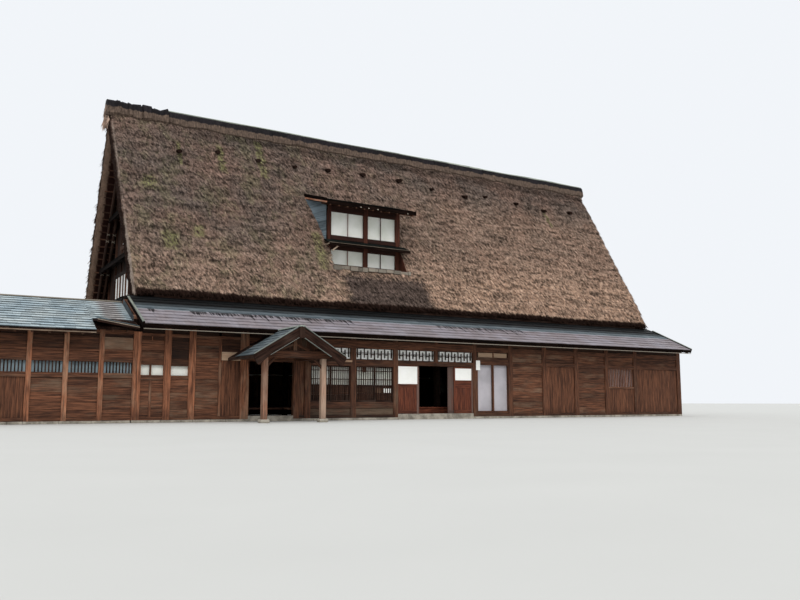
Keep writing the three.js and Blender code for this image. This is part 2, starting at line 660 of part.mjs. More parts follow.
// Porch
function buildPorch() {
  const group = new THREE.Group();
  group.position.set(porchX, 0, 0);
  house.add(group);
  const half = porchPostWidth / 2;
  for (const [name, side] of [['porch_post_left', -1], ['porch_post_right', 1]]) {
    const x = side * porchPostX;
    piece(name, joined([
      block([x - half, x + half], [porchPostY - half, porchPostY + half], [0, porchBeamLow]),
      block([x - 150, x + 150], [porchPostY - 150, porchPostY + 150], [0, 110]),
    ]), colours.post, group);
  }
  const slope = (porchApexZ - porchEaveZ) / porchHalfWidth;
  const topAt = (x) => porchApexZ - Math.abs(x) * slope;
  const underAt = (x) => topAt(x) - porchRoofThickness - seat;
  const beamEnd = porchPostX + 215;
  const y0 = porchPostY - half;
  const y1 = porchPostY + half;
  const web = [[-60, underAt(60)], [-60, porchBeamTop], [60, porchBeamTop], [60, underAt(60)], [0, underAt(0)]];
  const brace = (s) => [
    [s * 60, porchBeamTop + 150], [s * 60, porchBeamTop + 260], [s * 560, porchBeamTop], [s * 400, porchBeamTop],
  ];
  const frame = joined([
    block([-beamEnd, beamEnd], [y0, y1], [porchBeamLow, porchBeamTop]),
    block([-porchPostX - half, -porchPostX + half], [y0, 0], [porchBeamLow, porchBeamTop - 20]),
    block([porchPostX - half, porchPostX + half], [y0, 0], [porchBeamLow, porchBeamTop - 20]),
    alongY(web, y0 + 35, y1 - 35),
    alongY(brace(1), y0 + 45, y1 - 45),
    alongY(brace(-1), y0 + 45, y1 - 45),
  ]).intersect(solid(alongY([
    [-porchHalfWidth, 0], [porchHalfWidth, 0], [porchHalfWidth, underAt(porchHalfWidth)], [0, underAt(0)],
    [-porchHalfWidth, underAt(porchHalfWidth)],
  ], y0 - 10, 10)));
  piece('porch_frame', frame, colours.post, group);

  const w = porchHalfWidth;
  const roof = alongY([
    [0, porchApexZ], [w, porchEaveZ], [w, porchEaveZ - porchRoofThickness], [0, porchApexZ - porchRoofThickness],
    [-w, porchEaveZ - porchRoofThickness], [-w, porchEaveZ],
  ], porchFrontY, -seat);
  const clear = 10;
  const over = alongX([
    [pentEaveY - clear, pentUnder(pentEaveY) - clear], [100, pentUnder(100) - clear], [100, 4000],
    [pentEaveY - clear, 4000],
  ], -3000, 3000);
  piece('porch_roof', cut(solid(roof), [over]), colours.shingle, group);

  // Bargeboards with a curved, dropped foot
  const drop = 290;
  const outerTip = w + 60;
  const board = (s) => {
    const shape = new THREE.Shape();
    shape.moveTo(porchApexZ + 30, 0);
    shape.lineTo(topAt(outerTip) + 30, s * outerTip);
    shape.quadraticCurveTo(topAt(outerTip) - 60, s * (outerTip - 20), 1785, s * (outerTip - 200));
    shape.quadraticCurveTo(topAt(w - 420) - 180, s * (w - 330), topAt(w - 480) - drop, s * (w - 480));
    shape.lineTo(porchApexZ - drop, 0);
    const geometry = new THREE.ExtrudeGeometry(shape, { depth: 60, bevelEnabled: false, curveSegments: 5 });
    geometry.translate(0, 0, porchFrontY - 60);
    return geometry.applyMatrix4(new THREE.Matrix4().makeBasis(axisZ, axisX, axisY));
  };
  piece('porch_bargeboards', joined([board(1), board(-1)]), colours.verge, group);
}

// Annex: six bays of board wall with slit windows under a gabled shingle roof
function buildAnnex() {
  const right = -halfHouse - seat;
  const ridge = annexDepth / 2;
  const topAt = (y) => annexEaveZ + (y - annexEaveY) * annexRise;
  const underAt = (y) => topAt(y) - annexRoofThickness;
  const top = underAt(0) - seat;
  const across = (outline) => outline.map(([y, z]) => [annexDepth - y, z]);
  const posts = [];
  const slits = [];
  for (let x = annexEnd + 75; x < right - annexBay / 2; x += annexBay) {
    posts.push([x, wallThickness]);
    slits.push([x + 110, Math.min(x + annexBay - 110, right - 60), 1540, 1870]);
  }
  const rails = [[0, sillTop], [1390, 1470], [1930, 2000], [2640, top]];
  piece('annex_front_wall', framedWall({
    span: [annexEnd, right], outline: flatTop(annexEnd, right, 0, top), posts, rails, holes: slits,
  }), colours.board);
  piece('annex_window_paper', block(
    [annexEnd + wallThickness + 20, right - 20], [wallThickness, wallThickness + paperThickness], [1500, 1910],
  ), colours.paper);
  piece('annex_back_wall', framedWall({
    span: [annexEnd, right], outline: flatTop(annexEnd, right, 0, top), posts, rails,
  }), colours.board).position.set(0, annexDepth - wallThickness, 0);

  const inset = wallThickness + seat;
  const peak = [ridge, underAt(ridge) - 2 * seat];
  const side = [inset, underAt(inset) - 2 * seat];
  piece('annex_end_wall', joined([
    alongX([
      [inset, 0], [annexDepth - inset, 0], [annexDepth - inset, side[1]], peak, side,
    ], annexEnd + 45, annexEnd + 105),
    block([annexEnd, annexEnd + wallThickness], [inset, annexDepth - inset], [0, sillTop]),
    block([annexEnd, annexEnd + wallThickness], [inset, annexDepth - inset], [2450, 2640]),
    block([annexEnd, annexEnd + wallThickness], [ridge - 75, ridge + 75], [0, peak[1] - 60]),
  ]), colours.board);

  const slope = [[annexEaveY, annexEaveZ], [ridge, topAt(ridge)]];
  const roof = [
    ...slope, ...across(slope).reverse().slice(1),
    [annexDepth - annexEaveY, annexEaveZ - annexRoofThickness], [ridge, underAt(ridge)],
    [annexEaveY, annexEaveZ - annexRoofThickness],
  ];
  const cutback = block([joinX, right + 10], [annexEaveY - 10, -260], [2000, 3500]);
  piece('annex_roof', cut(solid(alongX(roof, annexEnd - 300, right)), [cutback]), colours.shingle);

  // Hood over the bay next to the house: its eave lifts towards the far end
  const hoodFront = -700;
  const hoodBack = 150;
  const hood = warped(block([joinX, right], [hoodFront, hoodBack], [0, 70]), (corner) => {
    const far = (right - corner.x) / (right - joinX);
    const front = 2890 + 190 * far;
    const back = topAt(hoodBack) + seat;
    const t = (corner.y - hoodFront) / (hoodBack - hoodFront);
    corner.z += front + (back - front) * t;
  });
  piece('annex_hood', hood, colours.shingle);
  const edge = wallThickness + paperThickness + seat;
  piece('annex_floor', block(
    [annexEnd + wallThickness + seat, right], [edge, annexDepth - wallThickness - seat],
    [annexFloorTop - floorThickness, annexFloorTop],
  ), colours.floor);
}

buildFrontWall();
buildPaper();
buildBackWall();
buildEndWall('right_wall', 1);
buildEndWall('left_wall', -1);
buildEntrance();
buildPents();
buildFloors();
buildThatch();
buildGable('left', -1);
buildGable('right', 1);
buildDormer();
buildPorch();
buildAnnex();

export default house;
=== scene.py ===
import math
import random

import bpy
from mathutils import Matrix, Vector


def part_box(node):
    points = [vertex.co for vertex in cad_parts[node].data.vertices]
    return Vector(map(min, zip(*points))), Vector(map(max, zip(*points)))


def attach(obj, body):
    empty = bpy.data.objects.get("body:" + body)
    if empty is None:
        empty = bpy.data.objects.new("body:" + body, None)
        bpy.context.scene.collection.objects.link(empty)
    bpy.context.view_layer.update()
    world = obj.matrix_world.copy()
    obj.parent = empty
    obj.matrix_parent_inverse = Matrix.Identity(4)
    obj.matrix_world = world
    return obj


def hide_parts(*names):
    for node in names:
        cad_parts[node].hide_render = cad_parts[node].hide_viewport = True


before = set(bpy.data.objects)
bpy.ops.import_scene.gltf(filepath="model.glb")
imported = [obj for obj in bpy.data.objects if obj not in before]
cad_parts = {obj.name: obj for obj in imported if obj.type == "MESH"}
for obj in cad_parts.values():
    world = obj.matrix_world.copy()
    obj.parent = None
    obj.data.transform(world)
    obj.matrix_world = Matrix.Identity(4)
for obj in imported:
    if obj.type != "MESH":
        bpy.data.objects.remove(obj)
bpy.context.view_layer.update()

print("farmhouse: frame loaded,", len(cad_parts), "nodes")


# Colours are written as codes; the shaders want them as linear light
def tint(code):
    parts = [int(code[i:i + 2], 16) / 255 for i in (0, 2, 4)]
    return tuple(c / 12.92 if c <= 0.04045 else ((c + 0.055) / 1.055) ** 2.4 for c in parts) + (1.0,)


def tints(**codes):
    return {key: tint(code) for key, code in codes.items()}


# A method that adds a Math node; turned puts the socket behind the other value
def maths(operation, turned=False):
    def method(socket, *values):
        values = (*values, socket) if turned else (socket, *values)
        return socket.tree.add("ShaderNodeMath", {"operation": operation}, dict(enumerate(values)))
    return method


class Socket:
    # one output of a node; sums on it add Math nodes
    def __init__(self, tree, out):
        self.tree, self.out = tree, out

    def other(self, name):
        return Socket(self.tree, self.out.node.outputs[name])

    __add__ = __radd__ = maths("ADD")
    __mul__ = __rmul__ = maths("MULTIPLY")
    __sub__, __rsub__, __truediv__ = maths("SUBTRACT"), maths("SUBTRACT", turned=True), maths("DIVIDE")
    __gt__, __lt__ = maths("GREATER_THAN"), maths("LESS_THAN")
    __abs__, __floor__, __ceil__, __round__ = map(maths, ("ABSOLUTE", "FLOOR", "CEIL", "ROUND"))
    fract, sine, cosine, atMost, atLeast = map(maths, ("FRACT", "SINE", "COSINE", "MINIMUM", "MAXIMUM"))


class Tree:
    # a node tree of either kind, filled by one method
    def __init__(self, nodeTree):
        self.tree = nodeTree

    def add(self, kind, settings=None, sockets=None, out=0):
        node = self.tree.nodes.new(kind)
        for key, value in (settings or {}).items():
            setattr(node, key, value)
        for key, value in (sockets or {}).items():
            if isinstance(value, Socket):
                self.tree.links.new(value.out, node.inputs[key])
            else:
                node.inputs[key].default_value = value
        return Socket(self, node.outputs[out])

    def vector(self, operation, a, b=None, out=0):
        values = {0: a} if b is None else {0: a, "Scale" if operation == "SCALE" else 1: b}
        return self.add("ShaderNodeVectorMath", {"operation": operation}, values, out)

    def dot(self, a, b):
        return self.vector("DOT_PRODUCT", a, b, out="Value")

    def joinXYZ(self, x, y, z):
        return self.add("ShaderNodeCombineXYZ", None, {0: x, 1: y, 2: z})

    def splitXYZ(self, vector):
        first = self.add("ShaderNodeSeparateXYZ", None, {0: vector})
        return first, first.other("Y"), first.other("Z")

    def noise(self, vector, scale, detail=2.0, roughness=0.5, stretch=None):
        if stretch:
            vector = self.vector("MULTIPLY", vector, stretch)
        return self.add("ShaderNodeTexNoise", None,
                        {"Vector": vector, "Scale": scale, "Detail": detail, "Roughness": roughness})

    # 0 below low, 1 above high
    def above(self, value, low, high):
        return self.add("ShaderNodeMapRange", {"interpolation_type": "SMOOTHSTEP"},
                        {"Value": value, "From Min": low, "From Max": high})

    def below(self, value, low, high):
        return 1.0 - self.above(value, low, high)


class GeometryTree(Tree):
    kinds = {float: "Float", int: "Int", tuple: "Vector", type(None): "Material"}

    def __init__(self, name, inputs):
        group = bpy.data.node_groups.new(name, "GeometryNodeTree")
        super().__init__(group)
        group.interface.new_socket("Geometry", in_out="INPUT", socket_type="NodeSocketGeometry")
        inputs = {**inputs, "Material": None}
        for key, value in inputs.items():
            made = group.interface.new_socket(key, in_out="INPUT", socket_type="NodeSocket" + self.kinds[type(value)])
            if value is not None:
                made.default_value = value
        group.interface.new_socket("Geometry", in_out="OUTPUT", socket_type="NodeSocketGeometry")
        start = self.add("NodeGroupInput")
        self.given = {"Geometry": start, **{key: start.other(key) for key in inputs}}
        self.position = self.add("GeometryNodeInputPosition")

    def chance(self, low, high, seed, **sockets):
        return self.add("FunctionNodeRandomValue", {"data_type": "FLOAT"}, {2: low, 3: high, "Seed": seed, **sockets},
                        out=1)

    def store(self, geometry, name, value, kind="FLOAT", domain="POINT"):
        return self.add("GeometryNodeStoreNamedAttribute", {"data_type": kind, "domain": domain},
                        {"Geometry": geometry, "Name": name, "Value": value})

    def named(self, name, kind="FLOAT"):
        return self.add("GeometryNodeInputNamedAttribute", {"data_type": kind}, {"Name": name})

    def cube(self, size=(1.0, 1.0, 1.0), **counts):
        return self.add("GeometryNodeMeshCube", None, {"Size": size, **counts})

    def move(self, geometry, **how):
        return self.add("GeometryNodeSetPosition", None, {"Geometry": geometry, **how})

    # a point on every edge of the input mesh, and the edge's run
    def edgePoints(self):
        edge = self.add("GeometryNodeInputMeshEdgeVertices", out="Position 1")
        run = self.vector("SUBTRACT", edge.other("Position 2"), edge)
        wires = self.store(self.given["Geometry"], "run", run, "FLOAT_VECTOR", "EDGE")
        points = self.add("GeometryNodeMeshToPoints", {"mode": "EDGES"}, {"Mesh": wires})
        return points, self.named("run", "FLOAT_VECTOR")

    # z along the run, and x or y towards the side
    def turned(self, run, axis, side):
        return self.add("FunctionNodeAxesToRotation", {"primary_axis": "Z", "secondary_axis": axis},
                        {"Primary Axis": run, "Secondary Axis": side})

    def repeat(self, points, shape, rotation, size, **sockets):
        return self.add("GeometryNodeInstanceOnPoints", None,
                        {"Points": points, "Instance": shape, "Rotation": rotation, "Scale": size, **sockets})

    def realize(self, geometry):
        return self.add("GeometryNodeRealizeInstances", None, {0: geometry})

    def finish(self, geometry):
        finished = self.add("GeometryNodeSetMaterial", None,
                            {0: self.realize(geometry), "Material": self.given["Material"]})
        self.tree.links.new(finished.out, self.tree.nodes.new("NodeGroupOutput").inputs[0])
        return self


class Finish(Tree):
    # one material; what varies goes to colour, roughness and bump
    def __init__(self, name):
        self.made = bpy.data.materials.new(name)
        self.made.use_nodes = True
        self.made.node_tree.nodes.clear()
        super().__init__(self.made.node_tree)
        self.place = self.add("ShaderNodeTexCoord").other("Object")

    def attribute(self, name, out="Fac"):
        return self.add("ShaderNodeAttribute", {"attribute_name": name}).other(out)

    def mix(self, amount, a, b):
        return self.add("ShaderNodeMix", {"data_type": "RGBA"}, {0: amount, 6: a, 7: b}, out=2)

    def shade(self, colour, amount):
        return self.vector("SCALE", colour, amount)

    def close(self, colour, roughness, height=None, depth=0.01, gloss=0.5):
        sockets = {"Base Color": colour, "Roughness": roughness, "Specular IOR Level": gloss}
        if height is not None:
            sockets["Normal"] = self.add("ShaderNodeBump", None, {"Strength": 1.0, "Distance": depth, "Height": height})
        shader = self.add("ShaderNodeBsdfPrincipled", None, sockets)
        self.tree.links.new(shader.out, self.tree.nodes.new("ShaderNodeOutputMaterial").inputs["Surface"])
        return self.made


# Puts a finished piece on its body
def keep(piece, replaced=(), body="house"):
    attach(piece, body)
    if replaced:
        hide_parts(*replaced)
    return piece


# Mesh with named numbers or vectors on its corners or edges
def newMesh(name, corners, edges=(), faces=(), domain="POINT", **attributes):
    mesh = bpy.data.meshes.new(name)
    mesh.from_pydata(corners, edges, faces)
    for key, values in attributes.items():
        if isinstance(values[0], Vector):
            made = mesh.attributes.new(key, "FLOAT_VECTOR", domain)
            made.data.foreach_set("vector", [c for value in values for c in value])
        else:
            mesh.attributes.new(key, "FLOAT", domain).data.foreach_set("value", values)
    return mesh


def newObject(name, mesh):
    made = bpy.data.objects.new(name, mesh)
    bpy.context.scene.collection.objects.link(made)
    return made


# Turns what the modifiers make into a plain mesh, and takes them off
def settled(made):
    depsgraph = bpy.context.evaluated_depsgraph_get()
    mesh = bpy.data.meshes.new_from_object(made.evaluated_get(depsgraph), preserve_all_data_layers=True,
                                           depsgraph=depsgraph)
    made.modifiers.clear()
    made.data = mesh
    return made


def grown(name, geometryTree, settings, mesh=None):
    made = newObject(name, mesh or newMesh(name, []))
    modifier = made.modifiers.new("grow", "NODES")
    modifier.node_group = geometryTree.tree
    for item in geometryTree.tree.interface.items_tree:
        if item.in_out == "INPUT" and item.name in settings:
            modifier[item.identifier] = settings[item.name]
    return settled(made)


house = {
    "half": 12.705,                # of the length, over the walls
    "depth": 12.8,
    "middle": 6.4,                 # of the depth, under the ridge
    "wall": 0.15,                  # thickness
    "foot": 0.08,                  # of the walls
    "top": 3.268,
    "sill": (0.08, 0.19),
    "topRail": (3.113, 3.268),
    "bay": 1.82,                   # from post to post
    "post": 0.22,
    "rail": (0.008, 0.142),        # depth of the rails in the wall
    "panel": (0.045, 0.105),       # depth of the boards between posts and rails
}


# Depth y on the front or right side, and the same place seen from the back or left side
def placeOn(side):
    return (lambda y: y) if side > 0 else (lambda y: house["depth"] - y)


# Thatch

thatch = {
    "pitch": math.radians(59),
    "thickness": 0.7,
    "eave": (0.0, 1.606, 4.4),     # outer lower edge of the front slope
    "halfLength": 12.45,           # at the eave
    "lean": 0.023,                 # how fast the verges lean outwards with height
    "rounding": 0.17,
    "cell": 0.15,
    "sunk": 0.035,                 # the skin lies this far under the tips of the straw
    # broad swells out of the flat slope, as on the CAD slabs: rows up the slope, columns along the eave
    "swellRows": (0.0, 2.23, 4.46, 6.69, 8.9, 9.35),
    "swells": (
        (-0.010, 0.025, -0.020, -0.035, 0.045, 0.040, -0.025, 0.015, 0.035, -0.030, 0.020, -0.010),
        (0.015, -0.040, 0.030, -0.025, 0.005, 0.0, 0.035, -0.040, 0.020, 0.040, -0.035, 0.015),
        (-0.020, 0.035, -0.035, 0.030, 0.0, 0.005, -0.040, 0.030, -0.030, 0.025, 0.040, -0.020),
        (0.020, -0.030, 0.040, -0.025, 0.030, -0.035, 0.025, -0.020, 0.040, -0.035, -0.015, 0.020),
    ),
    "course": 0.62,                # visible layers of straw
    "step": 11.8,                  # foot of the uppermost layer
    "droop": 0.1,                  # at the corners of the eave
    "patch": (-2.2, 1.95, 5.75),   # newer thatch under the dormer: middle, half width, top
    "strawDensity": 480.0,         # a square metre; the back has less
    "backShare": 0.45,
    "strawLength": 0.24,
    "strawWidth": 0.032,
    "slant": 0.28,                 # the stalks run a little to the right as they run down
    # moss below the needles and in hollows: x, upper and lower end, half width
    "moss": [(-6.5, 11.9, 10.0, 0.16), (-8.3, 11.3, 10.0, 0.13), (-10.05, 11.2, 10.1, 0.08), (-11.4, 9.3, 8.7, 0.25),
             (-9.75, 7.3, 6.8, 0.22), (-4.85, 7.6, 5.9, 0.2), (-10.9, 6.9, 6.2, 0.3), (9.1, 10.5, 9.6, 0.08)],
    # cut and under are very dark: partly the weathered straw's own colour, partly painted shade on the eave's cut and
    # the overhang's underside
    "colours": tints(old="635750", brown="725e54", tan="9c8371", moss="6d6d48", green="66644a", new="463c39",
                     cut="261812", verge="94857a", under="27130e", overhang="695548"),
}
pitchSine, pitchCosine, pitchTangent = (rule(thatch["pitch"]) for rule in (math.sin, math.cos, math.tan))


def thatchFinish():
    colours, middle, eave = thatch["colours"], house["middle"], thatch["eave"]
    tree = Finish("thatchStraw")
    x, y, z = tree.splitXYZ(tree.place)
    tone, tip = tree.attribute("tone"), tree.attribute("along")
    # x along the ridge, then up the slope, then out of it
    reach, rise = middle - abs(y - middle) - eave[1], z - eave[2]
    up = reach * pitchCosine + rise * pitchSine
    deep = reach * pitchSine - rise * pitchCosine
    slope = tree.joinXYZ(x, up, deep)
    patches = tree.above(tree.noise(slope, 0.5, 3.0, 0.6), 0.35, 0.65)
    tufts = tree.noise(tree.joinXYZ(x - up * -0.35, up, deep), 5.2, 4.0, 0.66, (1.9, 1.0, 1.0))
    layers = tree.noise(slope, 1.55, 5.0, 0.65, (0.42, 2.0, 0.5))
    wrinkles = tree.noise(slope, 1.7, 4.0, 0.65, (0.8, 4.6, 0.5))
    speckle = tree.noise(tree.place, 17.0, 3.0, 0.7)
    low, right, front = tree.below(z, 4.6, 8.4), tree.above(x, -9.0, 6.0), y < middle
    colour = tree.mix(patches, colours["old"], colours["brown"])
    worn = low * (0.5 + right * 0.2) + right * 0.5 * tree.below(z, 9.0, 11.4)
    colour = tree.mix(worn, colour, colours["tan"])
    green = tree.above(tree.noise(slope, 0.9, 5.0, 0.75, (1.3, 0.8, 0.8)), 0.47, 0.62)
    colour = tree.mix(green * (0.65 - right * 0.62) * (0.4 + tone * 0.4), colour, colours["green"])
    moss = 0.0
    for place, high, bottom, half in thatch["moss"]:
        spot = tree.below(abs(x - place + (layers - 0.5) * 0.5), half * 0.5, half * 1.6)
        height = z + (tufts - 0.5) * 0.5
        spot = spot * tree.above(height, bottom - 0.15, bottom + 0.1)
        moss = spot * tree.below(height, high - 0.15, high + 0.1) + moss
    moss = moss * tree.above(tufts + (speckle - 0.5) * 0.6 + tone * 0.2, 0.45, 0.65) * front
    colour = tree.mix(moss * 0.75, colour, colours["moss"])
    place, half, high = thatch["patch"]
    edge = abs(x - place) + (layers - 0.5) * 0.9 + (speckle - 0.5) * 0.5
    newer = tree.below(edge, half - 0.25, half + 0.15)
    newer = newer * tree.below(z + (tufts - 0.5) * 0.7, high - 0.2, high + 0.15) * front
    colour = tree.mix(newer * 0.85, colour, colours["new"])
    # painted shade in the gaps between the tufts and below each layer; the straws are also painted darker towards their
    # roots
    shadeInGaps = tufts + (layers - 0.5) * 0.45 + (wrinkles - 0.5) * 0.35 + (speckle - 0.5) * 0.25
    shadeInGaps = tree.above(shadeInGaps, 0.32, 0.62)
    brightness = (0.28 + shadeInGaps * 1.32) * (0.62 + tone * 0.62 + tip * 0.14 + (speckle - 0.5) * 0.6)
    # the uppermost layer ends in a wavy step, with a band of painted shadow below it
    step = z + (layers - 0.5) * 0.7 + (tufts - 0.5) * 0.25 - thatch["step"]
    brightness = brightness * (1.0 - tree.above(x, -9.8, -8.8) * tree.below(abs(step), 0.1, 0.28) * 0.4)
    colour = tree.shade(colour, brightness)
    # the cut and the edge above it at the eave, and all faces below the top surface, are painted dark: partly weathered
    # straw, partly painted shade; the clipped verge keeps only a thin strip of its lighter straw ends
    verge = (abs(x) - rise * thatch["lean"]) - thatch["halfLength"]
    lowest = tree.below(up + (tufts - 0.5) * 0.3, 0.08, 0.22)
    colour = tree.mix(lowest, colour, colours["cut"])
    colour = tree.mix(tree.above(deep, 0.05, 0.2), colour, colours["cut"])
    light = tree.above(verge, -0.13, -0.07) * tree.below(deep - low * 0.14 + (speckle - 0.5) * 0.1, 0.04, 0.1)
    colour = tree.mix(light, colour, tree.shade(colours["verge"][:3], 0.45 + speckle * 0.9))
    # seen from below, the overhang's underside is painted dark as shade; on the back slab's end face brown straw shows
    # as far in as the poles' ends
    colour = tree.mix(tree.above(deep, 0.5, 0.64), colour, colours["under"])
    shown = tree.above(verge + (tufts - 0.5) * 0.16, -0.26, -0.17) * tree.above(deep, 0.3, 0.4) * (y > middle)
    colour = tree.mix(shown, colour, tree.shade(colours["overhang"][:3], speckle * 1.1 + tufts * 0.9 - 0.05))
    grain = tree.noise(tree.place, 1.0, 4.0, 0.75, (30.0, 9.0, 9.0))
    return tree.close(colour, 0.95, grain, 0.02, 0.12)


# Flat grid, x along the eave and y up the slope, with the height of the swells on its corners
def swellMesh():
    rows, half = thatch["swellRows"], thatch["halfLength"]
    count = len(thatch["swells"][0])
    heights = [height for row in thatch["swells"] for height in row] + [0.0] * 2 * count
    corners = [((2 * j / (count - 1) - 1) * half, up, 0.0) for up in rows for j in range(count)]
    faces = [(i * count + j, i * count + j + 1, (i + 1) * count + j + 1, (i + 1) * count + j)
             for i in range(len(rows) - 1) for j in range(count - 1)]
    return newMesh("swells", corners, (), faces, swell=heights)


# One slab of thatch; the input mesh holds its broad swells
def thatchSlabTree():
    tree = GeometryTree("thatchSlab", {
        "Half length": 12.45, "Slope": 9.3, "Thickness": 0.7, "Pitch": 1.03, "Lean": 0.023, "Eave": (0.0, 0.0, 0.0),
        "Rounding": 0.17, "Cell": 0.15, "Course": 0.62, "Droop": 0.1, "Sunk": 0.035, "Seed": 0.0})
    given = tree.given
    half, slope, thickness, rounding, cell, sunk, lean, seed = (given[key] for key in (
        "Half length", "Slope", "Thickness", "Rounding", "Cell", "Sunk", "Lean", "Seed"))
    sine, cosine = given["Pitch"].sine(), given["Pitch"].cosine()
    _, eaveY, eaveZ = tree.splitXYZ(given["Eave"])
    box = tree.cube(**{"Vertices X": half * 2.0 / cell, "Vertices Y": slope / cell,
                       "Vertices Z": thickness / cell + 3.0})
    x, y, z = tree.splitXYZ(tree.position)
    flat = tree.joinXYZ(x * 2.0 * half, (y + 0.5) * slope, (z + 0.5) * thickness)
    # edges rounded, except at the ridge
    inner = tree.vector("MAXIMUM", tree.vector(
        "MINIMUM", flat, tree.joinXYZ(half - rounding - sunk, slope * 2.0, thickness - rounding - sunk)),
        tree.joinXYZ(rounding + sunk - half, rounding + sunk, rounding))
    away = tree.vector("NORMALIZE", tree.vector("SUBTRACT", flat, inner))
    along, up, through = tree.splitXYZ(tree.vector("ADD", inner, tree.vector("SCALE", away, rounding)))
    swell = tree.add("GeometryNodeSampleNearestSurface", {"data_type": "FLOAT"}, {
        "Mesh": given["Geometry"], "Sample Position": tree.joinXYZ(along, up, 0.0), "Value": tree.named("swell")})
    deep = thickness - through
    up = up * (1.0 - deep * sine / cosine / slope)
    deep = deep - swell * through / thickness
    lip = tree.below(up, 0.0, 1.2)
    up = up + lip * ((tree.noise(tree.joinXYZ(along, seed, 0.0), 0.9, 4.0, 0.6) - 0.5) * 0.14)
    corner = tree.above(abs(along), half - 0.75, half)
    rowY = eaveY + up * cosine + deep * sine
    rowZ = eaveZ + up * sine - deep * cosine - corner * corner * lip * given["Droop"]
    rowX = along * (1.0 + (rowZ - eaveZ) * lean / half)
    slab = tree.move(box, Position=tree.joinXYZ(rowX, rowY, rowZ))
    # lumps and layers
    seeded = tree.vector("ADD", tree.position, tree.joinXYZ(seed * 7.0, 0.0, 0.0))
    lumps = (tree.noise(seeded, 2.6, 3.0, 0.6) - 0.5) * 0.1
    height = tree.splitXYZ(tree.position)[2] / sine / given["Course"] + tree.noise(seeded, 0.8, 3.0) * 1.6
    push = lumps + (0.5 - height.fract()) * 0.05
    slab = tree.move(slab, Offset=tree.vector("SCALE", tree.add("GeometryNodeInputNormal"), push))
    return tree.finish(tree.add("GeometryNodeSetShadeSmooth", None, {0: slab}))


# Stalks scattered over a skin, outside the box given by Low and High
def strawTree():
    tree = GeometryTree("straws", {
        "Density": 400.0, "Length": 0.3, "Width": 0.03, "Spread": 0.5, "Lift": 0.12, "Flow": (0.0, 0.0, -1.0),
        "Outward": (0.0, 0.0, 1.0), "From": -20.0, "To": 20.0, "Low": (0.0, 0.0, -9.0), "High": (0.0, 0.0, -9.0),
        "Seed": 0})
    given = tree.given
    place = tree.splitXYZ(tree.position)
    inside = 1.0
    for value, low, high in zip(place, tree.splitXYZ(given["Low"]), tree.splitXYZ(given["High"])):
        inside = (value > low) * (value < high) * inside
    wanted = tree.dot(tree.add("GeometryNodeInputNormal"), given["Outward"]) > -0.35
    wanted = wanted * (place[0] > given["From"]) * (place[0] < given["To"]) * (1.0 - inside)
    points = tree.add("GeometryNodeDistributePointsOnFaces", {"distribute_method": "RANDOM"}, {
        "Mesh": given["Geometry"], "Selection": wanted, "Density": given["Density"], "Seed": given["Seed"]})
    normal = points.other("Normal")
    turned = tree.add("FunctionNodeAlignRotationToVector", {"axis": "X"}, {"Vector": given["Flow"]})
    turned = tree.add("FunctionNodeAlignRotationToVector", {"axis": "Z", "pivot_axis": "X"},
                      {"Rotation": turned, "Vector": normal})
    wander = tree.joinXYZ(tree.chance(-1.2, 1.2, 1), given["Lift"] * tree.chance(-1.6, 0.3, 2),
                          given["Spread"] * tree.chance(-1.0, 1.0, 3))
    turned = tree.add("FunctionNodeRotateRotation", {"rotation_space": "LOCAL"}, {
        "Rotation": turned, "Rotate By": tree.add("FunctionNodeEulerToRotation", None, {0: wander})})
    straw = tree.add("GeometryNodeMeshCone", {"fill_type": "NONE"}, {
        "Vertices": 3, "Radius Top": 0.0, "Radius Bottom": 1.0, "Depth": 1.0})
    straw = tree.store(straw, "along", tree.splitXYZ(tree.position)[2])
    straw = tree.add("GeometryNodeTransform", None, {"Geometry": straw, "Rotation": (0.0, math.pi / 2, 0.0)})
    clipped = tree.below(tree.dot(normal, given["Outward"]), 0.2, 0.75)
    size = tree.joinXYZ(given["Length"] * tree.chance(0.55, 1.35, 4) * (1.0 - clipped * 0.78),
                        given["Width"] * tree.chance(0.6, 1.4, 5), given["Width"] * tree.chance(0.35, 0.7, 6))
    placed = tree.repeat(points, straw, turned, size)
    return tree.finish(tree.store(placed, "tone", tree.chance(0.0, 1.0, 7), domain="INSTANCE"))


# Cuts a hole with the outline given in y and z, counter-clockwise seen from the right
def cutHole(made, outline, xRange):
    count = len(outline)
    corners = [(x, y, z) for x in xRange for y, z in outline]
    faces = [tuple(reversed(range(count))), tuple(range(count, 2 * count))]
    faces += [(i, (i + 1) % count, (i + 1) % count + count, i + count) for i in range(count)]
    cutter = newObject("cutter", newMesh("cutter", corners, (), faces))
    modifier = made.modifiers.new("hole", "BOOLEAN")
    modifier.object, modifier.operation, modifier.solver = cutter, "DIFFERENCE", "EXACT"
    settled(made)
    bpy.data.objects.remove(cutter)


